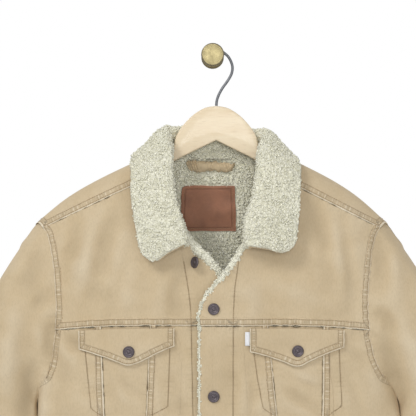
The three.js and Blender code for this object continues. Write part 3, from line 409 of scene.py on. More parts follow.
CREASES = (  # back, width, height, path
    (0, 11, -3.4, ((-134, -212), (-148, -262), (-166, -332), (-178, -362))),
    (0, 11, 2.6, ((-168, -226), (-178, -270), (-190, -330))),
    (0, 9, -2.2, ((-194, -246), (-199, -275), (-210, -300), (-212, -340))),
    (0, 10, 1.6, ((-108, -296), (-122, -340), (-128, -378))),
    (0, 12, 1.8, ((-62, -316), (-74, -350), (-70, -380))),
    (0, 10, -1.6, ((-40, -300), (-52, -340), (-48, -384))),
    (0, 12, -2.6, ((143, -208), (150, -240), (166, -288))),
    (0, 10, 2.4, ((170, -226), (178, -272), (188, -330))),
    (0, 9, -2.6, ((184, -252), (192, -290), (198, -332), (196, -370))),
    (0, 14, -2.0, ((74, -294), (104, -300), (142, -294))),
    (0, 12, 1.6, ((86, -330), (120, -344), (160, -350))),
    (0, 11, 1.8, ((48, -330), (60, -352), (58, -380))),
    (0, 8, -2.4, ((-219, -400), (-202, -412), (-184, -425))),
    (0, 9, 2.0, ((-222, -420), (-204, -436), (-190, -470))),
    (0, 8, 1.4, ((-190, -440), (-172, -470), (-150, -476))),
    (0, 7, -1.6, ((-128, -470), (-108, -486), (-90, -494))),
    (0, 9, 1.8, ((-98, -452), (-80, -480), (-72, -528))),
    (0, 7, -1.5, ((-60, -460), (-46, -486), (-36, -530))),
    (0, 6, 1.4, ((-148, -452), (-134, -476), (-122, -508))),
    (0, 7, 1.6, ((186, -430), (196, -440), (214, -448))),
    (0, 8, -1.8, ((188, -466), (202, -486), (214, -520))),
    (0, 7, -2.4, ((98, -476), (124, -492), (160, -514))),
    (0, 8, 2.0, ((96, -496), (126, -512), (156, -532))),
    (0, 6, 1.3, ((112, -452), (132, -462), (152, -468))),
    (0, 9, 1.7, ((36, -430), (44, -470), (40, -520))),
    (0, 7, -1.4, ((52, -448), (60, -480), (56, -530))),
    (0, 14, -3.2, ((-252, -278), (-258, -310), (-264, -338))),
    (0, 9, -2.4, ((-240, -344), (-246, -358), (-252, -370))),
    (0, 9, -4.2, ((-231, -384), (-232, -410), (-230, -440))),
    (0, 15, -5.0, ((-252, -430), (-262, -462), (-270, -520), (-272, -560))),
    (0, 14, 3.6, ((-278, -340), (-286, -400), (-300, -470))),
    (0, 12, 2.8, ((-238, -450), (-246, -490), (-252, -540))),
    (0, 10, -3.0, ((236, -262), (242, -290), (240, -330))),
    (0, 12, 2.6, ((256, -280), (262, -320), (256, -360))),
    (0, 9, -3.8, ((228, -376), (242, -372), (252, -384), (254, -404))),
    (0, 14, -4.8, ((240, -396), (250, -430), (262, -470), (274, -520))),
    (0, 14, 3.8, ((270, -370), (286, -420), (300, -480))),
    (0, 11, 2.6, ((258, -500), (270, -540), (284, -600))),
    (0, 14, -2.2, ((-60, -560), (-66, -640), (-58, -740))),
    (0, 13, 2.2, ((-130, -560), (-142, -640), (-138, -730))),
    (0, 16, -2.8, ((-206, -520), (-214, -600), (-208, -720))),
    (0, 15, -2.4, ((64, -570), (74, -650), (66, -750))),
    (0, 13, 2.2, ((136, -570), (146, -650), (140, -740))),
    (0, 16, -2.8, ((212, -520), (222, -610), (214, -730))),
    (0, 14, 2.6, ((296, -530), (340, -566), (386, -572))),
    (0, 13, -3.0, ((300, -600), (350, -626), (404, -614))),
    (0, 13, 2.6, ((312, -690), (366, -700), (424, -672))),
    (0, 12, -2.4, ((324, -742), (372, -752), (434, -724))),
    (0, 14, 2.6, ((-288, -534), (-330, -566), (-378, -560))),
    (0, 13, -3.0, ((-292, -610), (-340, -630), (-392, -604))),
    (0, 13, 2.6, ((-302, -684), (-352, -700), (-414, -676))),
    (0, 12, -2.4, ((-316, -740), (-366, -756), (-424, -722))),
    (1, 13, -2.6, ((-168, -230), (-156, -280), (-160, -338))),
    (1, 13, -2.6, ((164, -230), (150, -284), (156, -340))),
    (1, 14, 1.8, ((-60, -210), (-54, -260), (-62, -330))),
    (1, 14, -1.8, ((66, -214), (78, -270), (72, -336))),
    (1, 15, 2.6, ((-206, -400), (-178, -470), (-150, -560))),
    (1, 15, -2.8, ((204, -400), (176, -480), (152, -580))),
    (1, 16, -2.4, ((-120, -500), (-96, -600), (-100, -730))),
    (1, 16, 2.4, ((112, -510), (92, -620), (98, -740))),
    (1, 16, 2.0, ((8, -430), (-8, -540), (-2, -660))),
    (1, 14, 3.0, ((292, -410), (330, -452), (372, -466))),
    (1, 14, -3.2, ((296, -530), (344, -580), (394, -584))),
    (1, 14, 2.8, ((312, -680), (366, -690), (420, -662))),
    (1, 14, 3.0, ((-284, -414), (-326, -452), (-364, -462))),
    (1, 14, -3.2, ((-288, -536), (-336, -582), (-384, -580))),
    (1, 14, 2.8, ((-304, -686), (-356, -694), (-412, -664))),
)
BODY_HALF, BODY_DEEP, BODY_ROUND = 257, 45, 2.8
ARM_MIDDLE = ((-828, 390), (-800, 383), (-700, 358), (-600, 339), (-478, 316), (-400, 300),
              (-300, 275), (-244, 252))
ARM_HALF, ARM_DEEP = 62, 42


def faces_front(points, arm):
    """How far the cloth at each point faces the front: 1 the front, 0 a side, -1 the back."""
    if arm:
        heights, places = zip(*ARM_MIDDLE)
        across = (points[:, 0] - arm * np.interp(points[:, 2], heights, places)) / ARM_HALF ** 2
        ahead = (points[:, 1] - MIDDLE.y / MM) / ARM_DEEP ** 2
    else:
        aside, deep = points[:, 0] - MIDDLE.x / MM, points[:, 1] - MIDDLE.y / MM
        power = BODY_ROUND - 1
        across = np.sign(aside) * np.abs(aside / BODY_HALF) ** power / BODY_HALF
        ahead = np.sign(deep) * np.abs(deep / BODY_DEEP) ** power / BODY_DEEP
    return -ahead / np.maximum(np.hypot(across, ahead), 1e-9)


def crease_rise(flat, back):
    """Height of the creases of one face at places on it."""
    rise = np.zeros(len(flat))
    for here, width, height, path in CREASES:
        if here != back:
            continue
        line = resample(path, 6)
        low, high = line.min(axis=0) - 4 * width, line.max(axis=0) + 4 * width
        near = np.flatnonzero(((flat > low) & (flat < high)).all(axis=1))
        if not len(near):
            continue
        found, along, side, _ = measure_to(flat[near], line)
        size = np.linalg.norm(np.diff(line, axis=0), axis=1).sum()
        aside = found * side / width
        taper = np.sin(math.pi * np.clip(along / size, 0.02, 0.98)) ** 0.6
        rise[near] += height * taper * (np.exp(-aside ** 2) - 0.4 * np.exp(-(np.abs(aside) - 1.8) ** 2))
    return rise


def fold_rise(points, arm, back):
    """Height of the folds and waves of one face, fading where the cloth turns away from it."""
    settings = bpy.context.scene.jacket_cloth
    facing = faces_front(points, arm) * (-1 if back else 1)
    flat = points[:, [0, 2]]
    share = np.clip((facing - 0.15) / 0.5, 0, 1)
    wave = 0.8 * ripple(flat, 110, 3 + back) + 0.5 * ripple(flat, 44, 5 + back)
    rise = settings.waves / MM * wave + settings.folds * crease_rise(flat, back)
    return share * share * (3 - 2 * share) * rise


UNDERARM_REST = (-535, 55, 4.5)  # height, spread and depth where the sleeve rests on the body


def drape(points, arm=0):
    """Points moved with the waves and folds of the face that they lie on."""
    moved = points.copy()
    moved[:, 1] -= fold_rise(points, arm, 0)
    moved[:, 1] += fold_rise(points, arm, 1)
    if arm:
        height, spread, depth = UNDERARM_REST
        heights, places = zip(*ARM_MIDDLE)
        inside = np.clip((np.interp(points[:, 2], heights, places) - arm * points[:, 0]) / 40, 0, 1)
        moved[:, 0] -= arm * depth * inside * np.exp(-((points[:, 2] - height) / spread) ** 2)
    return moved


def dip_of(points, arm=0):
    """How deep each point lies in a fold, from -1 on a ridge to 1 in a trough."""
    return np.clip(-(fold_rise(points, arm, 0) + fold_rise(points, arm, 1)) / 7, -1, 1)


# Seams and stitch rows. A seam's line runs from one corner of a piece to another, by a hint


FELLED = (2.2, 9.0)  # how far in from a folded edge its two rows of stitches lie
EDGED = (2.4,)

FREE_ROWS = (  # rows that cross the fronts, x and z
    ((37.3, -293), (31, -336.5), (29.2, -375.6), (28.8, -516), (28.5, -812)),
    ((-41.3, -297.5), (-35.2, -332.3), (-31, -367), (-28, -516), (-27, -812)),
    ((58.4, -425), (62.9, -459.4), (71.4, -504.8), (83.8, -513)),
    ((179.8, -421), (183.6, -502.7), (168.6, -512.2)),
    ((-181.5, -423), (-173, -506.2), (-160.7, -514)),
    ((-60.9, -421), (-63.8, -502.7), (-85.3, -514)),
)


def seams_of(name, sign):
    """Seams of one piece: start, end, a place on the way, and how far in its stitches lie."""
    def across(*spots):
        return [(sign * x, z) for x, z in spots]
    chest_edge, chest_arm, under_arm = (-18 * sign, -388), (sign * 224, -395), (sign * 256, -478)
    shoulder_arm, shoulder_neck = (sign * 241, -249), (sign * 86, -172)
    top_inner, top_outer = (sign * 84, -389), (sign * 152, -390)
    if name == "front_yoke":
        return [(chest_edge, chest_arm, (sign * 110, -390), FELLED),
                (chest_arm, shoulder_arm, (sign * 222, -330), FELLED),
                (shoulder_arm, shoulder_neck, (sign * 160, -210), ())]
    if name == "centre_panel":
        low = (sign * 118, HEM_TOP)
        return [(top_inner, low, (sign * 98, -600), FELLED),
                (chest_edge, top_inner, (sign * 30, -389), ()),
                ((-19 * sign, HEM_TOP), low, (sign * 50, HEM_TOP), ())]
    if name == "pocket_panel":
        return [(top_inner, (sign * 118, HEM_TOP), (sign * 98, -600), ()),
                (top_outer, (sign * 145, HEM_TOP), (sign * 150, -600), ()),
                (top_inner, top_outer, (sign * 118, -389), ())]
    if name == "side_panel":
        return [(top_outer, (sign * 146, HEM_TOP), (sign * 150, -600), FELLED),
                (under_arm, chest_arm, (sign * 232, -440), FELLED),
                (top_outer, chest_arm, (sign * 188, -391), ()),
                ((sign * 146, HEM_TOP), (sign * 245, HEM_TOP), (sign * 200, HEM_TOP), ())]
    return []


def back_seams(name):
    seams = []
    if name == "back_yoke":
        seams.append(((222, -362), (-222, -362), (0, -352), FELLED))
        for _, sign in SIDES:
            seams.append(((sign * 241, -249), (sign * 86, -172), (sign * 160, -210), FELLED))
            seams.append(((sign * 222, -362), (sign * 241, -249), (sign * 226, -302), FELLED))
    if name == "back_panel":
        seams.append(((222, -362), (-222, -362), (0, -352), ()))
        seams.append(((245, HEM_TOP), (-240, HEM_TOP), (0, HEM_TOP), ()))
        for _, sign in SIDES:
            seams.append(((sign * 256, -478), (sign * 222, -362), (sign * 228, -418), FELLED))
            seams.append(((sign * 256, -478), (sign * 243, HEM_TOP), (sign * 268, -600), FELLED))
    return seams


def sleeve_seams(name, sign):
    back_top, back_low = (sign * 235, -259), (sign * 447, -803)
    under_top, under_low = (sign * 256, -478), (sign * 329, -828)
    return [(back_top, back_low, (sign * 368, -468), FELLED if name == "top_sleeve" else ()),
            (under_top, under_low, (sign * 268, -600), ()),
            (back_top, under_top, (sign * 222, -340), ()),
            (back_low, under_low, (sign * 390, -815), EDGED if name == "top_sleeve" else ())]


class Thread:
    """Stitches collected from every piece: where each lies, its way and the way out."""

    def __init__(self):
        self.rows = []

    def add(self, points, normals):
        if len(points) > 2:
            self.rows.append((np.asarray(points), np.asarray(normals)))

    def along_side(self, wall, tree, line, inset, keep_off, pitch):
        """A row at an inset from a side of a wall. Points too near a line of keep_off are left out."""
        spots = resample(line, pitch)
        way = np.gradient(spots, axis=0)
        way /= np.maximum(np.linalg.norm(way, axis=1)[:, None], 1e-9)
        laid, out = [], []
        for spot, along in zip(spots, way):
            _, normal, _, _ = tree.find_nearest(Vector(spot))
            inward = normal.cross(Vector(along))
            tries = [tree.find_nearest(Vector(spot) + inward * inset * s) for s in (1, -1)]
            aims = [Vector(spot) + inward * inset * s for s in (1, -1)]
            best = min((0, 1), key=lambda k: (tries[k][0] - aims[k]).length)
            laid.append(tries[best][0])
            out.append(tries[best][1])
        laid, out = np.array(laid), np.array(out)
        keep = np.ones(len(laid), bool)
        for other, gap in keep_off:
            keep &= measure_to(laid, other)[0] > gap - 0.4
        self.add_runs(laid, out, keep)

    def add_runs(self, laid, out, keep):
        """Adds the unbroken stretches of a row."""
        start = None
        for i, kept in enumerate(list(keep) + [False]):
            if kept and start is None:
                start = i
            if not kept and start is not None:
                self.add(laid[start:i], out[start:i])
                start = None

    def mesh(self, name):
        """Loose points that carry each stitch's way and the way out of the cloth."""
        places, ways, outs = [], [], []
        for points, normals in self.rows:
            way = np.gradient(points, axis=0)
            places.append(points)
            ways.append(way / np.maximum(np.linalg.norm(way, axis=1)[:, None], 1e-9))
            outs.append(normals)
        places, ways, outs = (np.concatenate(part) for part in (places, ways, outs))
        mesh = bpy.data.meshes.new(name)
        mesh.from_pydata((places * MM).tolist(), [], [])
        for label, values in (("way", ways), ("out", outs)):
            layer = mesh.attributes.new(label, "FLOAT_VECTOR", "POINT")
            layer.data.foreach_set("vector", values.astype(np.float32).ravel())
        return mesh


THREAD = Thread()


def shape_cloth(wall, seams, settings, free_rows=False, pucker=1.0):
    """Gives a cotton wall its folds, puckers and rounded edges, and sews its rows."""
    points, normals, shown = wall.points, wall.normals, wall.shown
    lines = [wall.side(*seam[:3]) for seam in seams]
    felled = [line for line, seam in zip(lines, seams) if seam[3]]
    far = np.full(len(points), 99.0)
    fell, near, along = far.copy(), far.copy(), np.zeros(len(points))
    foot = points.copy()
    for line, seam in zip(lines, seams):
        found, gone, _, spot = measure_to(points, line)
        if seam[3]:
            fell = np.minimum(fell, found)
        closer = found < near
        along = np.where(closer, gone, along)
        foot = np.where(closer[:, None], spot, foot)
        near = np.minimum(near, found)
    seam_near = near.copy()
    rim = np.concatenate([wall.points[loop] for loop in wall.loops])
    row = far.copy()
    for path in FREE_ROWS if free_rows else ():
        found, gone, side, _ = measure_to(points[:, [0, 2]], resample(path, 8))
        closer = found < np.abs(row)
        row = np.where(closer, found * side, row)
        along = np.where(found < near, gone, along)
        near = np.minimum(near, found)
    wall.store("fell", fell)
    wall.store("row", row)
    wall.store("near", near)
    wall.store("along", along)

    lift = settings.pucker / MM * pucker * puckers(foot, seam_near)
    edge = nearest_point(points, rim)
    lift -= np.where(shown, 0.4 * np.exp(-(edge / 1.0) ** 2), 0)
    wall.points = drape(points, wall.arm) + normals * (lift * (wall.outer > 0))[:, None]
    if wall.arm:
        tuck = np.exp(-(measure_to(points, lines[2])[0] / 8.0) ** 2)[:, None]
        wall.points += tuck * np.array(ARM_TUCK) * (wall.arm, 1, 1)
    wall.store("dip", dip_of(points, wall.arm))
    wall.write()

    tree = wall.tree()
    pitch = settings.pitch / MM
    shift = wall.points - points
    for k, seam in enumerate(seams):
        if not seam[3]:
            continue
        line = moved_line(lines[k], points, shift)
        others = [moved_line(other, points, shift) for other in felled if other is not lines[k]]
        for inset in seam[3]:
            clear = inset if len(seam[3]) > 1 else 0.8
            THREAD.along_side(wall, tree, line, inset, [(o, clear) for o in others], pitch)
    if free_rows:
        sew_free_rows(wall, tree, pitch)


ARM_TUCK = (-1.8, 0, 1.4)  # how far a sleeve's top is pushed in under the armhole's felled edge


def puckers(foot, near):
    """Height of the small folds across a seam, by their place on it and how near they are."""
    spread = np.exp(-(near / 10.0) ** 1.3)
    return (ripple(foot, 11.5, 11) + 0.6 * ripple(foot, 6.8, 12) - 0.5 * ripple(foot, 34, 8)) * spread


def nearest_point(points, others):
    """Distance of each point from the nearest of some others."""
    tree = KDTree(len(others))
    for i, spot in enumerate(others):
        tree.insert(spot, i)
    tree.balance()
    return np.array([tree.find(p)[2] for p in points])


def moved_line(line, points, shift):
    """A border line after the points under it have moved."""
    tree = KDTree(len(points))
    for i, spot in enumerate(points):
        tree.insert(spot, i)
    tree.balance()
    return np.array([spot + shift[tree.find(spot)[1]] for spot in line])


def sew_free_rows(wall, tree, pitch):
    """Rows that cross a front, laid on it from the front."""
    box = wall.points.min(axis=0) - 2, wall.points.max(axis=0) + 2
    rim = wall.points[wall.loops[0]]
    for path in FREE_ROWS:
        laid, out, keep = [], [], []
        for x, z in resample(path, pitch):
            hit, normal, _, _ = tree.ray_cast(Vector((x, -400, z)), Vector((0, 1, 0)))
            laid.append(hit if hit else Vector((x, box[0][1], z)))
            out.append(normal if hit else Vector((0, -1, 0)))
            keep.append(hit is not None)
        laid, out, keep = np.array(laid), np.array(out), np.array(keep)
        keep &= nearest_point(laid, rim) > 1.0
        THREAD.add_runs(laid, out, keep)


# Materials


class Value:
    """A node's output used as a number, so that shader maths reads as Python."""

    def __init__(self, look, socket):
        self.look = look
        self.socket = socket

    def maths(self, operation, *others, flip=False):
        values = [self, *others]
        return self.look.maths(operation, *(values[::-1] if flip else values))

    def __add__(self, other):
        return self.maths("ADD", other)

    def __mul__(self, other):
        return self.maths("MULTIPLY", other)

    def __sub__(self, other):
        return self.maths("SUBTRACT", other)

    def __rsub__(self, other):
        return self.maths("SUBTRACT", other, flip=True)

    def __truediv__(self, other):
        return self.maths("DIVIDE", other)

    def __pow__(self, other):
        return self.maths("POWER", other)

    def __neg__(self):
        return self * -1

    __radd__ = __add__
    __rmul__ = __mul__

    def size(self):
        return self.maths("ABSOLUTE")

    def clamp(self):
        return self.look.maths("ADD", self, 0.0, clamp=True)


class Look:
    """A material under construction."""

    def __init__(self, name, roughness=0.8, metallic=0.0, sheen=0.0, coat=0.0):
        self.material = bpy.data.materials.new(name)
        self.material.use_nodes = True
        self.tree = self.material.node_tree
        self.shader = self.tree.nodes["Principled BSDF"]
        self.shader.inputs["Roughness"].default_value = roughness
        self.shader.inputs["Metallic"].default_value = metallic
        self.shader.inputs["Sheen Weight"].default_value = sheen
        self.shader.inputs["Sheen Roughness"].default_value = 0.5
        self.shader.inputs["Coat Weight"].default_value = coat
        self.place = self.node("ShaderNodeTexCoord").outputs["Object"]

    def node(self, kind, settings=None, inputs=None):
        made = self.tree.nodes.new(kind)
        for key, value in (settings or {}).items():
            setattr(made, key, value)
        for key, value in (inputs or {}).items():
            self.feed(made.inputs[key], value)
        return made

    def feed(self, socket, value):
        if isinstance(value, Value):
            value = value.socket
        if isinstance(value, bpy.types.NodeSocket):
            self.tree.links.new(value, socket)
        elif isinstance(value, (tuple, list)) and len(value) == 3 and socket.type == "RGBA":
            socket.default_value = (*value, 1)
        else:
            socket.default_value = value

    def maths(self, operation, *values, clamp=False):
        made = self.node("ShaderNodeMath", {"operation": operation, "use_clamp": clamp},
                         dict(enumerate(values)))
        return Value(self, made.outputs[0])

    def attribute(self, name):
        made = self.node("ShaderNodeAttribute", {"attribute_name": name})
        return Value(self, made.outputs["Fac"])

    def stretched(self, scale, turn=(0, 0, 0)):
        return self.node("ShaderNodeMapping", None, {
            "Vector": self.place, "Scale": scale, "Rotation": turn}).outputs[0]

    def noise(self, scale, detail=2.0, place=None, rough=0.5):
        made = self.node("ShaderNodeTexNoise", None, {
            "Vector": place or self.place, "Scale": scale, "Detail": detail, "Roughness": rough})
        return Value(self, made.outputs[0])

    def noise_along(self, value, scale):
        made = self.node("ShaderNodeTexNoise", {"noise_dimensions": "1D"}, {
            "W": value, "Scale": scale, "Detail": 1.0})
        return Value(self, made.outputs[0])

    def cells(self, scale, place=None, edges=False):
        """Distance from the middles of scattered cells, or from the edges between them."""
        feature = "DISTANCE_TO_EDGE" if edges else "F1"
        made = self.node("ShaderNodeTexVoronoi", {"feature": feature}, {
            "Vector": place or self.place, "Scale": scale})
        return Value(self, made.outputs["Distance"])

    def warped(self, scale, amount):
        """Places pushed about by a soft noise, so that a pattern on them looks grown."""
        soft = self.node("ShaderNodeTexNoise", None, {
            "Vector": self.place, "Scale": scale, "Detail": 1.0})
        return self.node("ShaderNodeVectorMath", {"operation": "MULTIPLY_ADD"}, {
            0: soft.outputs["Color"], 1: (amount, amount, amount), 2: self.place}).outputs[0]

    def bands(self, axis, pitch):
        made = self.node("ShaderNodeTexWave", {"bands_direction": axis}, {
            "Vector": self.place, "Scale": 2 * math.pi / (20 * pitch)})
        return Value(self, made.outputs["Fac"])

    def blend(self, one, two, share):
        made = self.node("ShaderNodeMix", {"data_type": "RGBA"}, {
            "Factor": share, 6: one, 7: two})
        return made.outputs[2]

    def bump(self, height, strength=1.0):
        """Bump of a height in millimetres."""
        made = self.node("ShaderNodeBump", None, {
            "Height": height, "Distance": MM, "Strength": strength})
        self.feed(self.shader.inputs["Normal"], made.outputs[0])

    def finish(self, base, roughness=None):
        self.feed(self.shader.inputs["Base Color"], base)
        if roughness is not None:
            self.feed(self.shader.inputs["Roughness"], roughness)
        return self.material


def bell(value, middle, width):
    """One at the middle, falling to nothing a width away."""
    return (1.0 - (value - middle).size() / width).clamp()


def cotton_look(settings):
    look = Look("sand_canvas", roughness=0.92, sheen=0.08)
    fell, row = look.attribute("fell"), look.attribute("row")
    near, along = look.attribute("near"), look.attribute("along")
    canvas, shade, worn = tuple(settings.canvas), tuple(settings.canvas_shade), tuple(settings.worn)
    dark = tuple(c * 0.42 for c in shade)
    broad = look.noise(6, 3)
    streak = look.noise(14, 3, look.stretched((1.6, 1, 0.3)))
    mottle = look.noise(70, 4, rough=0.65)
    speck = look.noise(620, 3, look.stretched((1, 1, 0.35)))
    dip = look.attribute("dip")
    fade = (broad * 0.6 + streak * 0.6 + mottle * 0.6 - 0.4).clamp()
    base = look.blend(shade, canvas, fade)
    # Painted shade and highlight: the canvas is darkened in the troughs of the folds and turned to the worn
    # colour on their ridges, by the fold depth dip; the pale ridges stand for wear as well.
    base = look.blend(base, tuple(c * 0.6 for c in shade), dip.clamp() * 0.4)
    base = look.blend(base, worn, (-dip).clamp() * 0.3)
    base = look.blend(base, dark, (0.58 - speck).clamp() * 0.45)
    # Small puckers across the seams: painted shade in their hollows and thin creases, and their tops painted
    # paler, which is both wear and painted highlight.
    ladder = look.noise_along(along, 0.27)
    uneven = look.noise_along(along, 0.05)
    lines = (1.0 - (ladder - 0.5).size() * 12.0).clamp() * (uneven * 2.4 - 0.7).clamp()
    between = bell(fell, 5.6, 5.2)
    close = (1.0 - near / 15.0).clamp()
    pucker_hollow_shade = ((0.5 - ladder) * 3.0).clamp()
    base = look.blend(base, dark, pucker_hollow_shade * (between * 0.3 + close * close * 0.22).clamp())
    base = look.blend(base, dark, lines * between * 0.6)
    base = look.blend(base, worn, ((ladder - 0.5) * 3.0).clamp() * between * 0.5)
    # Darker along the rows of stitches: painted shade of the groove that the bump cuts there, and the dirt in it.
    rows = (bell(fell, FELLED[0], 0.8) + bell(fell, FELLED[1], 0.8) + bell(row, 0.0, 0.9)).clamp()
    base = look.blend(base, dark, rows * 0.42)
    base = look.blend(base, worn, (1.0 - fell / 1.7).clamp() * (0.55 + mottle * 0.6).clamp())
    # Painted shadow: along a seam where this piece lies under a neighbour's felled edge, the canvas is darkened.
    under = (1.0 - near / 1.6).clamp() * ((fell - 12.0) * 0.2).clamp()
    base = look.blend(base, dark, under * 0.7)
    weave = look.bands("X", 1.05 * MM) + look.bands("Z", 0.95 * MM)
    look.bump(weave * 0.045 + speck * 0.12 + ladder * (between + close * close * 0.6) * 0.9
              - lines * between * 0.4 - rows * 0.4 + look.noise(120, 3) * 0.25)
    return look.finish(base)


def pile_look(settings):
    look = Look("curled_pile", roughness=0.96, sheen=0.25)
    tip = look.attribute("tip")
    patch = look.noise(26, 3)
    fine = look.noise(900, 2)
    # Painted shade: the pile is darkened in the cracks between the nubs, and by tip, which is low between the
    # nubs on the walls and a random tone on the curls.
    cracks = (1.0 - look.cells(1 / settings.nub, look.warped(170, 2.2 * MM), edges=True) * 5.0).clamp()
    share = (tip * 0.8 + (patch - 0.5) * 0.4 + (fine - 0.5) * 0.3 - cracks * 0.3 + 0.25).clamp()
    base = look.blend(tuple(settings.deep), tuple(settings.light), share)
    look.bump(look.cells(520) * 0.4 + fine * 0.35 - cracks * 0.7)
    return look.finish(base)


def thread_look(settings):
    look = Look("sewing_thread", roughness=0.75, sheen=0.2)
    base = look.blend(tuple(settings.thread), tuple(c * 1.35 for c in settings.thread), look.noise(160, 2))
    look.bump(look.noise(2600, 1, look.stretched((1, 1, 3))) * 0.1)
    return look.finish(base)


def leather_look(settings):
    look = Look("brown_leather", roughness=0.55)
    blotch = look.noise(55, 4, rough=0.6)
    grain = look.cells(950)
    edge = look.attribute("rim")
    base = look.blend(tuple(c * 0.72 for c in settings.leather),
                      tuple(c * 1.22 for c in settings.leather), (blotch * 1.5 - 0.3).clamp())
    base = look.blend(base, tuple(c * 0.5 for c in settings.leather), bell(edge, 5.0, 1.6) * 0.55)
    base = look.blend(base, tuple(c * 1.5 for c in settings.leather), bell(edge, 0.0, 1.6) * 0.35)
    look.bump(grain * 0.35 + blotch * 0.6 + look.noise(240, 3) * 0.25 - bell(edge, 5.0, 1.4) * 0.5)
    return look.finish(base, (0.45 + blotch * 0.3))


def label_look():
    look = Look("white_tape", roughness=0.85, sheen=0.15)
    weave = look.bands("X", 0.7 * MM) + look.bands("Z", 0.5 * MM)
    base = look.blend(from_srgb(232, 234, 238), from_srgb(250, 250, 252), look.noise(300, 2))
    look.bump(weave * 0.08)
    return look.finish(base)


def button_look(settings):
    look = Look("gunmetal", roughness=0.38, metallic=0.85)
    spots = look.noise(420, 4, rough=0.7)
    base = look.blend(tuple(c * 0.5 for c in settings.metal), tuple(c * 1.25 for c in settings.metal),
                      (spots * 1.6 - 0.35).clamp())
    look.bump(look.noise(900, 3) * 0.12)
    return look.finish(base, (0.3 + spots * 0.35))


def beech_look(settings):
    look = Look("beech", roughness=0.5, coat=0.15)
    grain = look.noise(60, 4, look.stretched((0.5, 1, 3.2), (0, 0.12, 0)), rough=0.6)
    fleck = look.noise(420, 2, look.stretched((0.22, 1, 1.6), (0, 0.1, 0)))
    rings = look.noise(16, 2, look.stretched((0.25, 1, 2.4), (0, 0.15, 0)))
    base = look.blend(tuple(settings.beech), tuple(settings.beech_grain),
                      (grain * 0.9 + rings * 0.9 - 0.55).clamp())
    base = look.blend(base, tuple(c * 0.8 for c in settings.beech_grain),
                      ((fleck - 0.58) * 5.0).clamp() * 0.45)
    look.bump(grain * 0.12 + fleck * 0.08)
    return look.finish(base, (0.42 + grain * 0.2))


def wire_look():
    look = Look("bright_wire", roughness=0.45, metallic=0.7)
    smear = look.noise(130, 3)
    base = look.blend(from_srgb(104, 106, 110), from_srgb(134, 136, 140), smear)
    return look.finish(base, (0.4 + smear * 0.15))


def brass_look(settings):
    look = Look("old_brass", roughness=0.42, metallic=0.9)
    tarnish = look.noise(85, 4, rough=0.65)
    rim = look.attribute("rim")
    base = look.blend(tuple(settings.brass), tuple(c * 0.55 for c in settings.brass),
                      (tarnish * 1.7 - 0.7).clamp())
    base = look.blend(base, from_srgb(112, 104, 88), rim * 0.75)
    look.bump(look.noise(520, 3) * 0.05 + look.bands("X", 0.8 * MM) * 0.015)
    return look.finish(base, (0.3 + tarnish * 0.35))


LOOKS = {}


def looks():
    """Every material, made once."""
    if not LOOKS:
        scene = bpy.context.scene
        cloth, pile, trim = scene.jacket_cloth, scene.jacket_pile, scene.jacket_trim
        LOOKS.update(
            cotton=cotton_look(cloth), thread=thread_look(cloth), pile=pile_look(pile),
            leather=leather_look(trim), label=label_look(), metal=button_look(trim),
            beech=beech_look(trim), wire=wire_look(), brass=brass_look(trim))
    return LOOKS


# Geometry Nodes: a small form set on points, and curls scattered on pile


class Scatter:
    """A Geometry Nodes tree under construction."""

    def __init__(self, name, sizes):
        self.tree = bpy.data.node_groups.new(name, "GeometryNodeTree")
        face = self.tree.interface
        face.new_socket("Geometry", in_out="INPUT", socket_type="NodeSocketGeometry")
        for label, kind in sizes:
            face.new_socket(label, in_out="INPUT", socket_type=kind)
        face.new_socket("Geometry", in_out="OUTPUT", socket_type="NodeSocketGeometry")
        self.given = self.tree.nodes.new("NodeGroupInput")
        self.result = self.tree.nodes.new("NodeGroupOutput")

    def node(self, kind, settings=None, inputs=None):
        made = self.tree.nodes.new(kind)
        for key, value in (settings or {}).items():
            setattr(made, key, value)
        for key, value in (inputs or {}).items():
            socket = made.inputs[key]
            if isinstance(value, bpy.types.NodeSocket):
                self.tree.links.new(value, socket)
            else:
                socket.default_value = value
        return made

    def vector(self, name):
        made = self.node("GeometryNodeInputNamedAttribute", {"data_type": "FLOAT_VECTOR"},
                         {"Name": name})
        return made.outputs["Attribute"]

    def finish(self, geometry, look):
        real = self.node("GeometryNodeRealizeInstances", None, {"Geometry": geometry})
        painted = self.node("GeometryNodeSetMaterial", None, {
            "Geometry": real.outputs[0], "Material": look})
        self.tree.links.new(painted.outputs[0], self.result.inputs["Geometry"])
        return self.tree

    def apply(self, piece, values):
        """The tree's result on an object, as a plain mesh. Values are by input name."""
        change = piece.modifiers.new("Scatter", "NODES")
        change.node_group = self.tree
        for item in self.tree.interface.items_tree:
            if item.in_out == "INPUT" and item.name in values:
                change[item.identifier] = values[item.name]
        return frozen(piece)


def worm(name, path, sides, thick):
    """A short bent tube with round ends, along a path in shares of its length."""
    form = bmesh.new()
    rings = []
    last = len(path) - 1
    for i, (x, z) in enumerate(path):
        grow = math.sin(math.pi * (0.18 + 0.64 * i / last)) ** 0.6
        ring = [form.verts.new((x, thick * grow * math.cos(2 * math.pi * k / sides),
                                z + thick * grow * math.sin(2 * math.pi * k / sides)))
                for k in range(sides)]
        rings.append(ring)
    for a, b in zip(rings, rings[1:]):
        for k in range(sides):
            form.faces.new((a[k], a[(k + 1) % sides], b[(k + 1) % sides], b[k]))
    form.faces.new(rings[0][::-1])
    form.faces.new(rings[-1])
    bmesh.ops.recalc_face_normals(form, faces=form.faces)
    mesh = bpy.data.meshes.new(name)
    form.to_mesh(mesh)
    form.free()
    mesh.polygons.foreach_set("use_smooth", [True] * len(mesh.polygons))
    return loose_object(name, mesh)


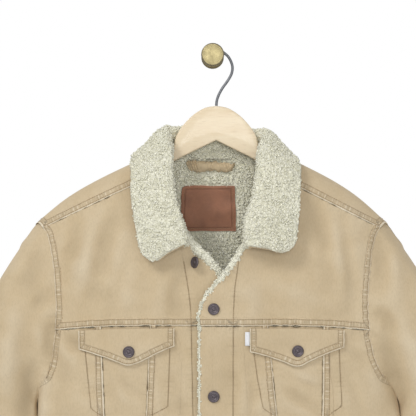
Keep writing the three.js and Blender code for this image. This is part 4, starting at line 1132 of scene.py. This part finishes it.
def place_stitches(points_mesh, name, settings):
    """Stitches set on loose points that carry their way and the way out."""
    long, wide = settings.pitch * 0.8, settings.stitch_width
    path = [(-0.5 * long, -0.3 * wide), (-0.2 * long, 0.28 * wide),
            (0.2 * long, 0.28 * wide), (0.5 * long, -0.3 * wide)]
    proto = worm("stitch_form", path, 4, wide / 2)
    work = Scatter("Stitches", [("Lean", "NodeSocketFloat"), ("Seed", "NodeSocketInt")])
    form = work.node("GeometryNodeObjectInfo", None, {"Object": proto})
    turn = work.node("FunctionNodeAxesToRotation", {"primary_axis": "Z", "secondary_axis": "X"}, {
        "Primary Axis": work.vector("out"), "Secondary Axis": work.vector("way")})
    lean = work.node("FunctionNodeRandomValue", {"data_type": "FLOAT"}, {
        2: -0.09, 3: work.given.outputs["Lean"], "Seed": work.given.outputs["Seed"]})
    size = work.node("ShaderNodeCombineXYZ", None, {"X": 1.0, "Y": 1.0, "Z": 1.0})
    tilt = work.node("ShaderNodeCombineXYZ", None, {"Z": lean.outputs[1]})
    both = work.node("FunctionNodeRotateRotation", {"rotation_space": "LOCAL"}, {
        "Rotation": turn.outputs[0], "Rotate By": tilt.outputs[0]})
    points = work.node("GeometryNodeMeshToPoints", None, {"Mesh": work.given.outputs["Geometry"]})
    placed = work.node("GeometryNodeInstanceOnPoints", None, {
        "Points": points.outputs[0], "Instance": form.outputs["Geometry"],
        "Rotation": both.outputs[0], "Scale": size.outputs[0]})
    work.finish(placed.outputs[0], looks()["thread"])
    made = work.apply(loose_object(name + "_points", points_mesh), {"Lean": 0.09, "Seed": 4})
    bpy.data.objects.remove(proto)
    return new_piece(name, made, looks()["thread"])


def scatter_curls(name, base, settings, share=1.0, replaced=()):
    """Curls scattered over the faces of a pile mesh where its attribute furry is one."""
    nub = settings.nub
    path = [(-0.42 * nub, -0.1 * nub), (-0.2 * nub, 0.2 * nub), (0.16 * nub, 0.22 * nub),
            (0.4 * nub, -0.05 * nub)]
    proto = worm("curl_form", path, 5, nub * 0.26)
    work = Scatter("Curls", [("Density", "NodeSocketFloat"), ("Seed", "NodeSocketInt"),
                             ("Least", "NodeSocketFloat"), ("Most", "NodeSocketFloat")])
    form = work.node("GeometryNodeObjectInfo", None, {"Object": proto})
    furry = work.node("GeometryNodeInputNamedAttribute", {"data_type": "FLOAT"}, {"Name": "furry"})
    dense = work.node("ShaderNodeMath", {"operation": "MULTIPLY"}, {
        0: furry.outputs["Attribute"], 1: work.given.outputs["Density"]})
    points = work.node("GeometryNodeDistributePointsOnFaces", None, {
        "Mesh": work.given.outputs["Geometry"], "Density": dense.outputs[0],
        "Seed": work.given.outputs["Seed"]})
    spin = work.node("FunctionNodeRandomValue", {"data_type": "FLOAT_VECTOR"}, {
        0: (-0.45, -0.45, -3.14), 1: (0.45, 0.45, 3.14), "Seed": work.given.outputs["Seed"]})
    turn = work.node("FunctionNodeRotateRotation", {"rotation_space": "LOCAL"}, {
        "Rotation": points.outputs["Rotation"], "Rotate By": spin.outputs[0]})
    size = work.node("FunctionNodeRandomValue", {"data_type": "FLOAT"}, {
        2: work.given.outputs["Least"], 3: work.given.outputs["Most"],
        "Seed": work.given.outputs["Seed"]})
    placed = work.node("GeometryNodeInstanceOnPoints", None, {
        "Points": points.outputs["Points"], "Instance": form.outputs["Geometry"],
        "Rotation": turn.outputs[0], "Scale": size.outputs[1]})
    shade = work.node("FunctionNodeRandomValue", {"data_type": "FLOAT"}, {2: 0.35, 3: 1.0})
    marked = work.node("GeometryNodeStoreNamedAttribute", {"data_type": "FLOAT", "domain": "INSTANCE"}, {
        "Geometry": placed.outputs[0], "Name": "tip", "Value": shade.outputs[1]})
    work.finish(marked.outputs[0], looks()["pile"])
    made = work.apply(loose_object(name + "_base", base.copy()), {
        "Density": settings.curls * 100 * share, "Seed": settings.seed,
        "Least": 0.6, "Most": 1.25})
    bpy.data.objects.remove(proto)
    return new_piece(name, made, looks()["pile"], replaced)


# Pieces


def shape_pile(wall, settings, height=1.0, patch=None, bare=None, worn=True):
    """Raises nubs on a pile wall and marks where curls grow. Bare tells where there are none."""
    points, normals = wall.points, wall.normals
    nub = settings.nub / MM
    rise = settings.rise / MM * height
    values = np.empty(len(points))
    for i, point in enumerate(points):
        near = noise.voronoi(Vector(point) / nub)[0]
        values[i] = near[1] - near[0]
    values = np.clip(values * 1.6, 0, 1)
    lift = rise * (values - 0.5) + 0.8 * height * ripple(points, 42, 21)
    if bare is not None:
        lift *= 1.0 - bare(points)
    if worn:
        lift *= 1.0 - wall.outer
        points = raised_top(points)
    moved = drape(points) if worn else points
    wall.points = moved + normals * lift[:, None]
    # Painted shade: tip is lower, which paints the pile darker, where the wall lies low between the nubs.
    wall.store("tip", 0.25 + 0.7 * values)
    grows = np.ones(len(points)) if patch is None else patch(points, normals)
    wall.store("furry", grows if bare is None else grows * (1.0 - bare(points)))
    wall.write()


NECK_SEAM = (-168, -150, 8.0)  # the lining's top is drawn up to the collar over these heights


def raised_top(points):
    """Draws the lining's top edge behind the neck up to the collar."""
    low, high, rise = NECK_SEAM
    share = np.clip((points[:, 2] - low) / (high - low), 0, 1)
    share *= np.clip((86 - np.abs(points[:, 0])) / 20, 0, 1) * (points[:, 1] > MIDDLE.y / MM)
    return points + share[:, None] * np.array([0, 0, rise])


def thin_hidden(mesh, keep, share):
    """Thins the part of a mesh that doesn't show, to keep the count of its faces down."""
    piece = loose_object("thinning", mesh)
    group = piece.vertex_groups.new(name="hidden")
    group.add([int(i) for i in np.flatnonzero(~keep)], 1.0, "REPLACE")
    change = piece.modifiers.new("Thin", "DECIMATE")
    change.ratio = share
    change.vertex_group = "hidden"
    made = frozen(piece)
    bpy.data.meshes.remove(mesh)
    return made


class JacketOperator:
    bl_options = {"REGISTER", "UNDO"}

    def execute(self, context):
        self.make(context.scene)
        return {"FINISHED"}


def add_cloth(wall):
    made = thin_hidden(wall.mesh, wall.outer > 0.0, 0.72)
    piece = new_piece(wall.node + "_cloth", made, looks()["cotton"], [wall.node])


def plain_cloth(wall):
    """Marks a piece of cotton that has no seams and no folds of its own."""
    for name, value in (("fell", 99.0), ("near", 99.0), ("row", 99.0), ("along", 0.0), ("dip", 0.0)):
        wall.store(name, np.full(len(wall.points), value))


class OBJECT_OT_jacket_fronts(JacketOperator, bpy.types.Operator):
    """Make the panels and yokes of both fronts"""

    bl_idname = "object.jacket_fronts"
    bl_label = "Fronts"

    def make(self, scene):
        for side, sign in SIDES:
            for name in ("centre_panel", "pocket_panel", "side_panel", "front_yoke"):
                wall = Wall(f"{name}_{side}", 3, outward)
                shape_cloth(wall, seams_of(name, sign), scene.jacket_cloth,
                            free_rows=name != "pocket_panel")
                if name in ("centre_panel", "front_yoke"):
                    EDGES[(name, side)] = wall.side(*FRONT_EDGES[name](sign))
                add_cloth(wall)


EDGES = {}  # open edges of the fronts, kept for the pile that shows beyond them
FRONT_EDGES = {
    "centre_panel": lambda sign: ((-18 * sign, -388), (-18 * sign, HEM_TOP), (-19 * sign, -600)),
    "front_yoke": lambda sign: ((sign * 86, -172), (-18 * sign, -388), (sign * 40, -262)),
}


class OBJECT_OT_jacket_back(JacketOperator, bpy.types.Operator):
    """Make the back yoke and the back panel"""

    bl_idname = "object.jacket_back"
    bl_label = "Back"

    def make(self, scene):
        for name in ("back_yoke", "back_panel"):
            wall = Wall(name, 3, outward)
            shape_cloth(wall, back_seams(name), scene.jacket_cloth)
            add_cloth(wall)


class OBJECT_OT_jacket_sleeves(JacketOperator, bpy.types.Operator):
    """Make the sleeves, the cuffs and the waistband"""

    bl_idname = "object.jacket_sleeves"
    bl_label = "Sleeves and bands"

    def make(self, scene):
        for side, sign in SIDES:
            for name in ("top_sleeve", "under_sleeve"):
                wall = Wall(f"{name}_{side}", 3, out_of_arm(sign), sign)
                shape_cloth(wall, sleeve_seams(name, sign), scene.jacket_cloth)
                add_cloth(wall)
            cuff = Wall(f"cuff_{side}", 3, out_of_arm(sign), sign)
            self.shape_ring(cuff, scene.jacket_cloth, top=EDGED, bottom=(3.2,))
            add_cloth(cuff)
        band = Wall("waistband", 3, outward)
        self.shape_ring(band, scene.jacket_cloth, top=EDGED, bottom=(3.2,))
        add_cloth(band)

    def shape_ring(self, wall, settings, top, bottom):
        """Waves, creases and rows of a wall that runs round."""
        points, normals = wall.points, wall.normals
        near = np.full(len(points), 99.0)
        fell, along, foot = near.copy(), np.zeros(len(points)), points.copy()
        rims = [np.vstack([points[loop], points[loop[:1]]]) for loop in wall.loops]
        if len(rims) == 1:
            rims = self.split_strip(points[wall.loops[0]])
        rims.sort(key=lambda rim: -rim[:, 2].mean())
        plans = [(rims[0], top), (rims[-1], bottom)]
        for rim, rows in plans:
            found, gone, _, spot = measure_to(points, rim)
            closer = found < near
            along = np.where(closer, gone, along)
            foot = np.where(closer[:, None], spot, foot)
            near = np.minimum(near, found)
            if rows:
                fell = np.minimum(fell, found)
        wall.store("fell", fell)
        wall.store("near", near)
        wall.store("along", along)
        wall.store("row", np.full(len(points), 99.0))
        lift = settings.pucker / MM * puckers(foot, near)
        lift -= np.where(wall.shown, 0.4 * np.exp(-(near / 1.1) ** 2), 0)
        wall.points = drape(points, wall.arm) + normals * (lift * (wall.outer > 0))[:, None]
        wall.store("dip", dip_of(points, wall.arm))
        wall.write()
        tree = wall.tree()
        for rim, rows in plans:
            line = moved_line(rim, points, wall.points - points)
            for inset in rows:
                THREAD.along_side(wall, tree, line, inset, [], settings.pitch / MM)

    def split_strip(self, loop):
        """Top and bottom lines of a long strip, from the loop round it."""
        middle = loop[:, 2].mean()
        high = loop[:, 2] > middle
        start = int(np.flatnonzero(high & ~np.roll(high, 1))[0])
        turned = np.roll(loop, -start, axis=0)
        count = int(high.sum())
        return [turned[:count], turned[count:]]


class OBJECT_OT_jacket_flaps(JacketOperator, bpy.types.Operator):
    """Make the pocket flaps, the blank tab and the collar's undercloth"""

    bl_idname = "object.jacket_flaps"
    bl_label = "Flaps and tab"

    def make(self, scene):
        for side, sign in SIDES:
            wall = Wall(f"pocket_flap_{side}", 4, to_front)
            spots = wall.points[wall.loops[0]]
            low, high = spots.min(axis=0), spots.max(axis=0)
            middle = (low[0] + high[0]) / 2
            tip = (middle, low[2])
            corners = [((low[0], high[2]), (low[0] + 2, low[2] + 22)),
                       ((high[0], high[2]), (high[0] - 1, low[2] + 22))]
            seams = []
            for top, bottom in corners:
                seams.append((top, bottom, (top[0], mix(top[1], bottom[1], 0.5)), (2.4, 8.2)))
                seams.append((bottom, tip, (mix(bottom[0], tip[0], 0.5), mix(bottom[1], tip[1], 0.5)),
                              (2.4, 8.2)))
            shape_cloth(wall, seams, scene.jacket_cloth, pucker=0.4)
            add_cloth(wall)
        tab = Wall("blank_tab", 3, to_front)
        tab.points = drape(tab.points)
        tab.write()
        new_piece("blank_tab_cloth", tab.mesh, looks()["label"], ["blank_tab"])
        under = Wall("collar_backing", 2)
        plain_cloth(under)
        piece = new_piece("collar_undercloth", under.mesh, looks()["cotton"], ["collar_backing"])


class OBJECT_OT_jacket_collar(JacketOperator, bpy.types.Operator):
    """Make the pile face of the collar with its curls"""

    bl_idname = "object.jacket_collar"
    bl_label = "Collar pile"

    def make(self, scene):
        wall = Wall("collar_pile", 3, behind="collar_backing")
        shape_pile(wall, scene.jacket_pile, worn=False,
                   patch=lambda points, normals: (wall.outer > 0.999).astype(float))
        made = thin_hidden(wall.mesh, wall.outer > 0.3, 0.8)
        curls = scatter_curls("collar_curls", made, scene.jacket_pile, 0.85)
        face = new_piece("collar_face", made, looks()["pile"], ["collar_pile"])


def under_patch(points):
    """One where the patch lies on the back lining, 0 elsewhere."""
    x, y, z = points.T
    covered = (x > -50.5) & (x < 37) & (z > -256) & (z < -187) & (y > MIDDLE.y / MM)
    return covered.astype(float)


class OBJECT_OT_jacket_lining(JacketOperator, bpy.types.Operator):
    """Make the pile lining and the pile that shows along the front edges"""

    bl_idname = "object.jacket_lining"
    bl_label = "Lining pile"

    def make(self, scene):
        pile = scene.jacket_pile
        for node in ("lining_back", "lining_front_left", "lining_front_right"):
            wall = Wall(node, 3 if node == "lining_back" else 2, outward)
            inside = 1.0 - wall.outer
            shape_pile(wall, pile, 0.8, lambda points, normals: np.where(
                (inside > 0.4) & (np.abs(points[:, 0]) < 84) & (points[:, 2] > -318)
                & (normals[:, 1] < -0.2), 1.0, 0.0), under_patch if node == "lining_back" else None)
            if node == "lining_back":
                scatter_curls("neck_curls", wall.mesh, pile, 1.1)
            piece = new_piece(node + "_pile", wall.mesh, looks()["pile"], [node])
        for side, sign in SIDES:
            self.edge_roll(side, sign, pile)

    def edge_roll(self, side, sign, settings):
        """Soft roll of pile that shows beyond a front's edge, from the collar to the hem."""
        top, low = EDGES[("front_yoke", side)], EDGES[("centre_panel", side)]
        line = resample(np.vstack([top, low[2:]]), 1.6)
        way = np.gradient(line, axis=0)
        way /= np.linalg.norm(way, axis=1)[:, None]
        sides = 14
        form = bmesh.new()
        rings = []
        for place, along in zip(line, way):
            open_share = min(1.0, max(0.0, (place[2] + 392) / 90))
            wide = mix(1.6, 4.6 if sign > 0 else 6.2, open_share)
            out = np.array([-sign * 1.0, 0, 0])
            out = out - along * (out @ along)
            out /= np.linalg.norm(out)
            ahead = np.cross(along, out)
            ahead *= -1 if ahead[1] > 0 else 1
            middle = place + out * mix(1.2, 1.4, open_share) - ahead * mix(2.4, 1.0, open_share)
            ring = []
            for k in range(sides):
                angle = 2 * math.pi * k / sides
                spot = middle + out * wide * math.cos(angle) + ahead * mix(3.0, 3.6, open_share) * math.sin(angle)
                wobble = noise.noise(Vector(spot) / 2.6) * 0.8
                ring.append(form.verts.new(Vector(spot + (spot - middle) * wobble / 3) * MM))
            rings.append(ring)
        for a, b in zip(rings, rings[1:]):
            for k in range(sides):
                form.faces.new((a[k], a[(k + 1) % sides], b[(k + 1) % sides], b[k]))
        form.faces.new(rings[0])
        form.faces.new(rings[-1][::-1])
        bmesh.ops.recalc_face_normals(form, faces=form.faces)
        mesh = bpy.data.meshes.new("edge_roll_" + side)
        form.to_mesh(mesh)
        form.free()
        for name, value in (("tip", 0.75), ("furry", 1.0)):
            layer = mesh.attributes.new(name, "FLOAT", "POINT")
            layer.data.foreach_set("value", [value] * len(mesh.vertices))
        scatter_curls("edge_curls_" + side, mesh, settings, 0.8)
        new_piece("edge_roll_" + side, mesh, looks()["pile"])


def spun(name, profile, centre, axis, steps=48):
    """A round form from a profile of radius and height, stood on a point along an axis."""
    form = bmesh.new()
    turn = Vector((0, 0, 1)).rotation_difference(Vector(axis)).to_matrix()
    rings = []
    for radius, height in profile:
        ring = []
        for k in range(steps):
            angle = 2 * math.pi * k / steps
            spot = Vector((radius * math.cos(angle), radius * math.sin(angle), height))
            ring.append(form.verts.new((Vector(centre) + turn @ spot) * MM))
        rings.append(ring)
    for a, b in zip(rings, rings[1:]):
        for k in range(steps):
            form.faces.new((a[k], a[(k + 1) % steps], b[(k + 1) % steps], b[k]))
    form.faces.new(rings[0][::-1])
    form.faces.new(rings[-1])
    bmesh.ops.recalc_face_normals(form, faces=form.faces)
    mesh = bpy.data.meshes.new(name)
    form.to_mesh(mesh)
    form.free()
    return mesh


class OBJECT_OT_jacket_buttons(JacketOperator, bpy.types.Operator):
    """Make the metal buttons of the front, the flaps and the cuffs"""

    bl_idname = "object.jacket_buttons"
    bl_label = "Buttons"

    PROFILE = (  # radius share, height in millimetres
        (0.90, 0.0), (0.985, 0.35), (1.0, 0.9), (0.99, 1.7), (0.955, 2.35), (0.90, 2.75), (0.83, 2.8),
        (0.77, 2.55), (0.73, 2.2), (0.67, 2.15), (0.62, 2.35), (0.56, 2.45), (0.50, 2.3), (0.46, 1.95),
        (0.34, 1.8), (0.27, 1.95), (0.24, 2.3), (0.19, 2.6), (0.10, 2.72), (0.02, 2.75))

    def make(self, scene):
        nodes = [n for n in sorted(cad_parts) if "_button_" in n]
        radius = scene.jacket_trim.button_radius / MM
        for node in nodes:
            centre, axis = self.place(node)
            profile = [(share * radius, height) for share, height in self.PROFILE]
            mesh = spun(node + "_metal", profile, centre - axis * 1.5, axis)
            new_piece(node + "_metal", mesh, looks()["metal"], [node])

    def place(self, node):
        """Middle of a button and the way that it faces, out of the cloth."""
        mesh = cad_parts[node].data
        points = np.array([v.co for v in mesh.vertices]) / MM
        middle = (points.max(axis=0) + points.min(axis=0)) / 2
        _, _, ways = np.linalg.svd(points - points.mean(axis=0), full_matrices=False)
        axis = ways[2]
        arm = (1 if node.endswith("left") else -1) if node.startswith("cuff") else 0
        return drape(middle[None], arm)[0], axis if axis[1] < 0 else -axis


class OBJECT_OT_jacket_neck(JacketOperator, bpy.types.Operator):
    """Make the leather patch and the gathered hanging loop"""

    bl_idname = "object.jacket_neck"
    bl_label = "Patch and loop"

    def make(self, scene):
        wall = Wall("leather_patch", 4, to_front)
        rim = np.concatenate([wall.points[loop] for loop in wall.loops])
        edge = nearest_point(wall.points, rim)
        wall.store("rim", edge)
        lift = 0.5 * ripple(wall.points, 30, 31) - np.where(wall.shown, 0.5 * np.exp(-(edge / 1.0) ** 2), 0)
        wall.points = drape(wall.points) + wall.normals * lift[:, None]
        wall.write()
        line = wall.points[wall.loops[0]]
        line = np.vstack([line, line[:1]])
        THREAD.along_side(wall, wall.tree(), line, 3.6, [(line, 3.6)], scene.jacket_cloth.pitch / MM)
        new_piece("patch_leather", wall.mesh, looks()["leather"], ["leather_patch"])
        self.loop(scene)

    def loop(self, scene):
        """Flat tube of cotton, gathered along its length by the stitches inside it."""
        wall = Wall("hanging_loop", 3)
        points, normals = wall.points, wall.normals
        gather = ripple(points[:, [0]] + 0.35 * points[:, [2]], 4.4, 41) + 0.7 * ripple(points, 7.5, 42)
        wall.points = drape(points) + normals * (0.85 * gather)[:, None] + np.array([0, 0, 1]) * (
            0.7 * ripple(points[:, [0]], 9, 43))[:, None]
        plain_cloth(wall)
        wall.write()
        new_piece("hanging_loop_cloth", wall.mesh, looks()["cotton"], ["hanging_loop"])


class OBJECT_OT_jacket_hanger(JacketOperator, bpy.types.Operator):
    """Make the wooden hanger, its wire hook and the wall knob"""

    bl_idname = "object.jacket_hanger"
    bl_label = "Hanger and knob"

    def make(self, scene):
        self.wood()
        wire = Wall("hanger_hook", 2)
        new_piece("hook_wire", wire.mesh, looks()["wire"], ["hanger_hook"])
        self.knob()

    def wood(self):
        """Rounded board cut to the outline of the hanger."""
        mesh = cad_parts["hanger_wood"].data
        form = bmesh.new()
        form.from_mesh(mesh)
        bmesh.ops.remove_doubles(form, verts=form.verts, dist=1e-6)
        front = min(v.co.y for v in form.verts)
        rim = [e for e in form.edges if all(abs(v.co.y - front) < 1e-5 for v in e.verts)
               and any(f.normal.y > -0.95 for f in e.link_faces)]
        after = {}
        for edge in rim:
            a, b = edge.verts
            after.setdefault(a, []).append(b)
            after.setdefault(b, []).append(a)
        first = next(iter(after))
        loop, here, last = [first], after[first][0], first
        while here is not first:
            loop.append(here)
            here, last = next(v for v in after[here] if v is not last), here
        outline = np.array([(v.co.x / MM, v.co.z / MM) for v in loop])
        form.free()
        outline = self.rounded(outline)
        low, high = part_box("hanger_wood")
        self.board(outline, low.y / MM, high.y / MM)

    def rounded(self, outline):
        """Outline with its soft bends made smooth and its corners kept."""
        for _ in range(3):
            ahead = np.roll(outline, -1, axis=0)
            behind = np.roll(outline, 1, axis=0)
            one, two = outline - behind, ahead - outline
            turn = np.degrees(np.abs(np.arctan2(
                one[:, 0] * two[:, 1] - one[:, 1] * two[:, 0], (one * two).sum(axis=1))))
            made = []
            for k, spot in enumerate(outline):
                if turn[k] > 42:
                    made.append(spot)
                else:
                    made.append(spot * 0.75 + behind[k] * 0.25)
                    made.append(spot * 0.75 + ahead[k] * 0.25)
            outline = np.array(made)
        return outline

    def board(self, outline, front, back):
        area = 0.5 * np.sum(outline[:, 0] * np.roll(outline[:, 1], -1)
                            - np.roll(outline[:, 0], -1) * outline[:, 1])
        if area < 0:
            outline = outline[::-1]
        way = np.roll(outline, -1, axis=0) - np.roll(outline, 1, axis=0)
        way /= np.linalg.norm(way, axis=1)[:, None]
        inward = np.stack([-way[:, 1], way[:, 0]], axis=1)
        soft = 2.6
        steps = [math.radians(a) for a in (0, 22, 45, 68, 90)]
        rows = [(front + soft * (1 - math.cos(a)), soft * math.sin(a)) for a in steps]
        rows += [(back - soft * (1 - math.cos(a)), soft * math.sin(a)) for a in reversed(steps)]
        form = bmesh.new()
        rings = []
        for y, grow in rows:
            ring = [form.verts.new((x * MM, y * MM, z * MM)) for x, z in outline - inward * grow]
            rings.append(ring)
        count = len(outline)
        for a, b in zip(rings, rings[1:]):
            for k in range(count):
                form.faces.new((a[k], a[(k + 1) % count], b[(k + 1) % count], b[k]))
        caps = [form.faces.new(rings[0]), form.faces.new(rings[-1][::-1])]
        bmesh.ops.triangulate(form, faces=caps)
        bmesh.ops.recalc_face_normals(form, faces=form.faces)
        mesh = bpy.data.meshes.new("hanger_board")
        form.to_mesh(mesh)
        form.free()
        piece = new_piece("hanger_board", mesh, looks()["beech"], ["hanger_wood"])
        mesh.set_sharp_from_angle(angle=math.radians(35))
        return piece

    def knob(self):
        low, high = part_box("wall_knob")
        reach = (high.y - low.y) / MM
        foot = (high.x - low.x) / 2 / MM
        head, neck = foot, 8.5
        profile = [(head, 0), (head, 1.6), (head - 0.8, 2.6), (neck + 0.8, 4.6), (neck, 5.4),
                   (neck, reach - 9.6), (neck + 0.5, reach - 9.1), (head - 0.6, reach - 8.2),
                   (head, reach - 7.4), (head, reach - 2.0), (head - 0.25, reach - 1.1),
                   (head - 0.8, reach - 0.4), (head - 1.6, reach), (head - 2.6, reach - 0.05),
                   (head - 3.4, reach - 0.3), (head * 0.5, reach - 0.45), (0.2, reach - 0.5)]
        mesh = spun("knob_brass", profile, (0, 0, 0), (0, -1, 0), 72)
        layer = mesh.attributes.new("rim", "FLOAT", "POINT")
        values = []
        for vert in mesh.vertices:
            radius = math.hypot(vert.co.x, vert.co.z) / MM
            values.append(min(1.0, max(0.0, (radius - head + 2.4) / 1.6)))
        layer.data.foreach_set("value", values)
        new_piece("knob_brass", mesh, looks()["brass"], ["wall_knob"])


class OBJECT_OT_jacket_stitches(JacketOperator, bpy.types.Operator):
    """Sew the collected rows of stitches, after every piece of cloth"""

    bl_idname = "object.jacket_stitches"
    bl_label = "Stitches"

    def make(self, scene):
        if not THREAD.rows:
            raise RuntimeError("make the cloth before its stitches")
        place_stitches(THREAD.mesh("stitch_points"), "stitches", scene.jacket_cloth)


SKY = 0.42  # light of the white room, against the white that the background shows


class OBJECT_OT_jacket_stage(JacketOperator, bpy.types.Operator):
    """Set the floor, the light and the camera"""

    bl_idname = "object.jacket_stage"
    bl_label = "Stage"

    def make(self, scene):
        self.floor()
        self.world(scene)
        self.light("key", (-1.5, -1.9, 1.6), 0.9, 35)
        self.light("front", (0.1, -2.9, 0.15), 0.7, 17)
        self.light("fill", (1.7, -2.0, 0.3), 1.4, 7)
        self.light("back_left", (-1.6, 1.6, 0.9), 1.4, 14)
        self.light("back_right", (1.6, 1.6, 0.6), 1.4, 14)
        stage = scene.jacket_stage
        data = bpy.data.cameras.new("photo_camera")
        data.sensor_width = 36
        data.lens = 36 * stage.distance / stage.view_width
        camera = bpy.data.objects.new("photo_camera", data)
        camera.location = (stage.view_x, -0.09 - stage.distance, stage.view_z)
        camera.rotation_euler = (math.pi / 2, 0, 0)
        scene.collection.objects.link(camera)
        scene.camera = camera
        scene.view_settings.view_transform = "Standard"

    def floor(self):
        size, height = 6.0, CAD_BOX[0].z - 0.35
        mesh = bpy.data.meshes.new("floor")
        mesh.from_pydata([(-size, -size, height), (size, -size, height), (size, size, height),
                          (-size, size, height)], [], [(0, 1, 2, 3)])
        floor = loose_object("floor", mesh)
        look = Look("pale_floor", roughness=0.8)
        base = look.blend((0.80, 0.80, 0.79), (0.84, 0.84, 0.83), look.noise(3, 2))
        mesh.materials.append(look.finish(base))

    def world(self, scene):
        world = bpy.data.worlds.new("studio")
        world.use_nodes = True
        nodes = world.node_tree.nodes
        ground = nodes["Background"]
        ground.inputs["Color"].default_value = (1, 1, 1, 1)
        path = nodes.new("ShaderNodeLightPath")
        strength = nodes.new("ShaderNodeMath")
        strength.operation = "MULTIPLY_ADD"
        strength.inputs[1].default_value = 1.0 - SKY
        strength.inputs[2].default_value = SKY
        world.node_tree.links.new(path.outputs["Is Camera Ray"], strength.inputs[0])
        world.node_tree.links.new(strength.outputs[0], ground.inputs["Strength"])
        scene.world = world

    def light(self, name, place, size, power):
        data = bpy.data.lights.new(name, "AREA")
        data.size = size
        data.energy = power
        lamp = bpy.data.objects.new(name, data)
        lamp.location = place
        lamp.rotation_euler = (Vector((0, -0.05, -0.3)) - Vector(place)).to_track_quat("-Z", "Y").to_euler()
        bpy.context.scene.collection.objects.link(lamp)


class VIEW3D_PT_jacket(bpy.types.Panel):
    """Lists the pieces of the jacket and the sizes that they are made from"""

    bl_label = "Jacket"
    bl_idname = "VIEW3D_PT_jacket"
    bl_space_type = "VIEW_3D"
    bl_region_type = "UI"
    bl_category = "Jacket"

    def draw(self, context):
        for group in (context.scene.jacket_cloth, context.scene.jacket_pile,
                      context.scene.jacket_trim, context.scene.jacket_stage):
            box = self.layout.box()
            for name in group.__annotations__:
                box.prop(group, name)
        for operator in OPERATORS:
            self.layout.operator(operator.bl_idname)


GROUPS = {"jacket_cloth": JacketCloth, "jacket_pile": JacketPile,
          "jacket_trim": JacketTrim, "jacket_stage": JacketStage}
OPERATORS = (OBJECT_OT_jacket_stage, OBJECT_OT_jacket_fronts, OBJECT_OT_jacket_back,
             OBJECT_OT_jacket_sleeves, OBJECT_OT_jacket_flaps, OBJECT_OT_jacket_collar,
             OBJECT_OT_jacket_lining, OBJECT_OT_jacket_buttons, OBJECT_OT_jacket_neck,
             OBJECT_OT_jacket_hanger, OBJECT_OT_jacket_stitches)


def register():
    for made in (*GROUPS.values(), *OPERATORS, VIEW3D_PT_jacket):
        bpy.utils.register_class(made)
    for name, group in GROUPS.items():
        setattr(bpy.types.Scene, name, PointerProperty(type=group))


def unregister():
    for name in GROUPS:
        delattr(bpy.types.Scene, name)
    for made in (VIEW3D_PT_jacket, *reversed(OPERATORS), *GROUPS.values()):
        bpy.utils.unregister_class(made)


def main():
    register()
    for operator in OPERATORS:
        group, name = operator.bl_idname.split(".")
        getattr(getattr(bpy.ops, group), name)()


if __name__ == "__main__":
    main()
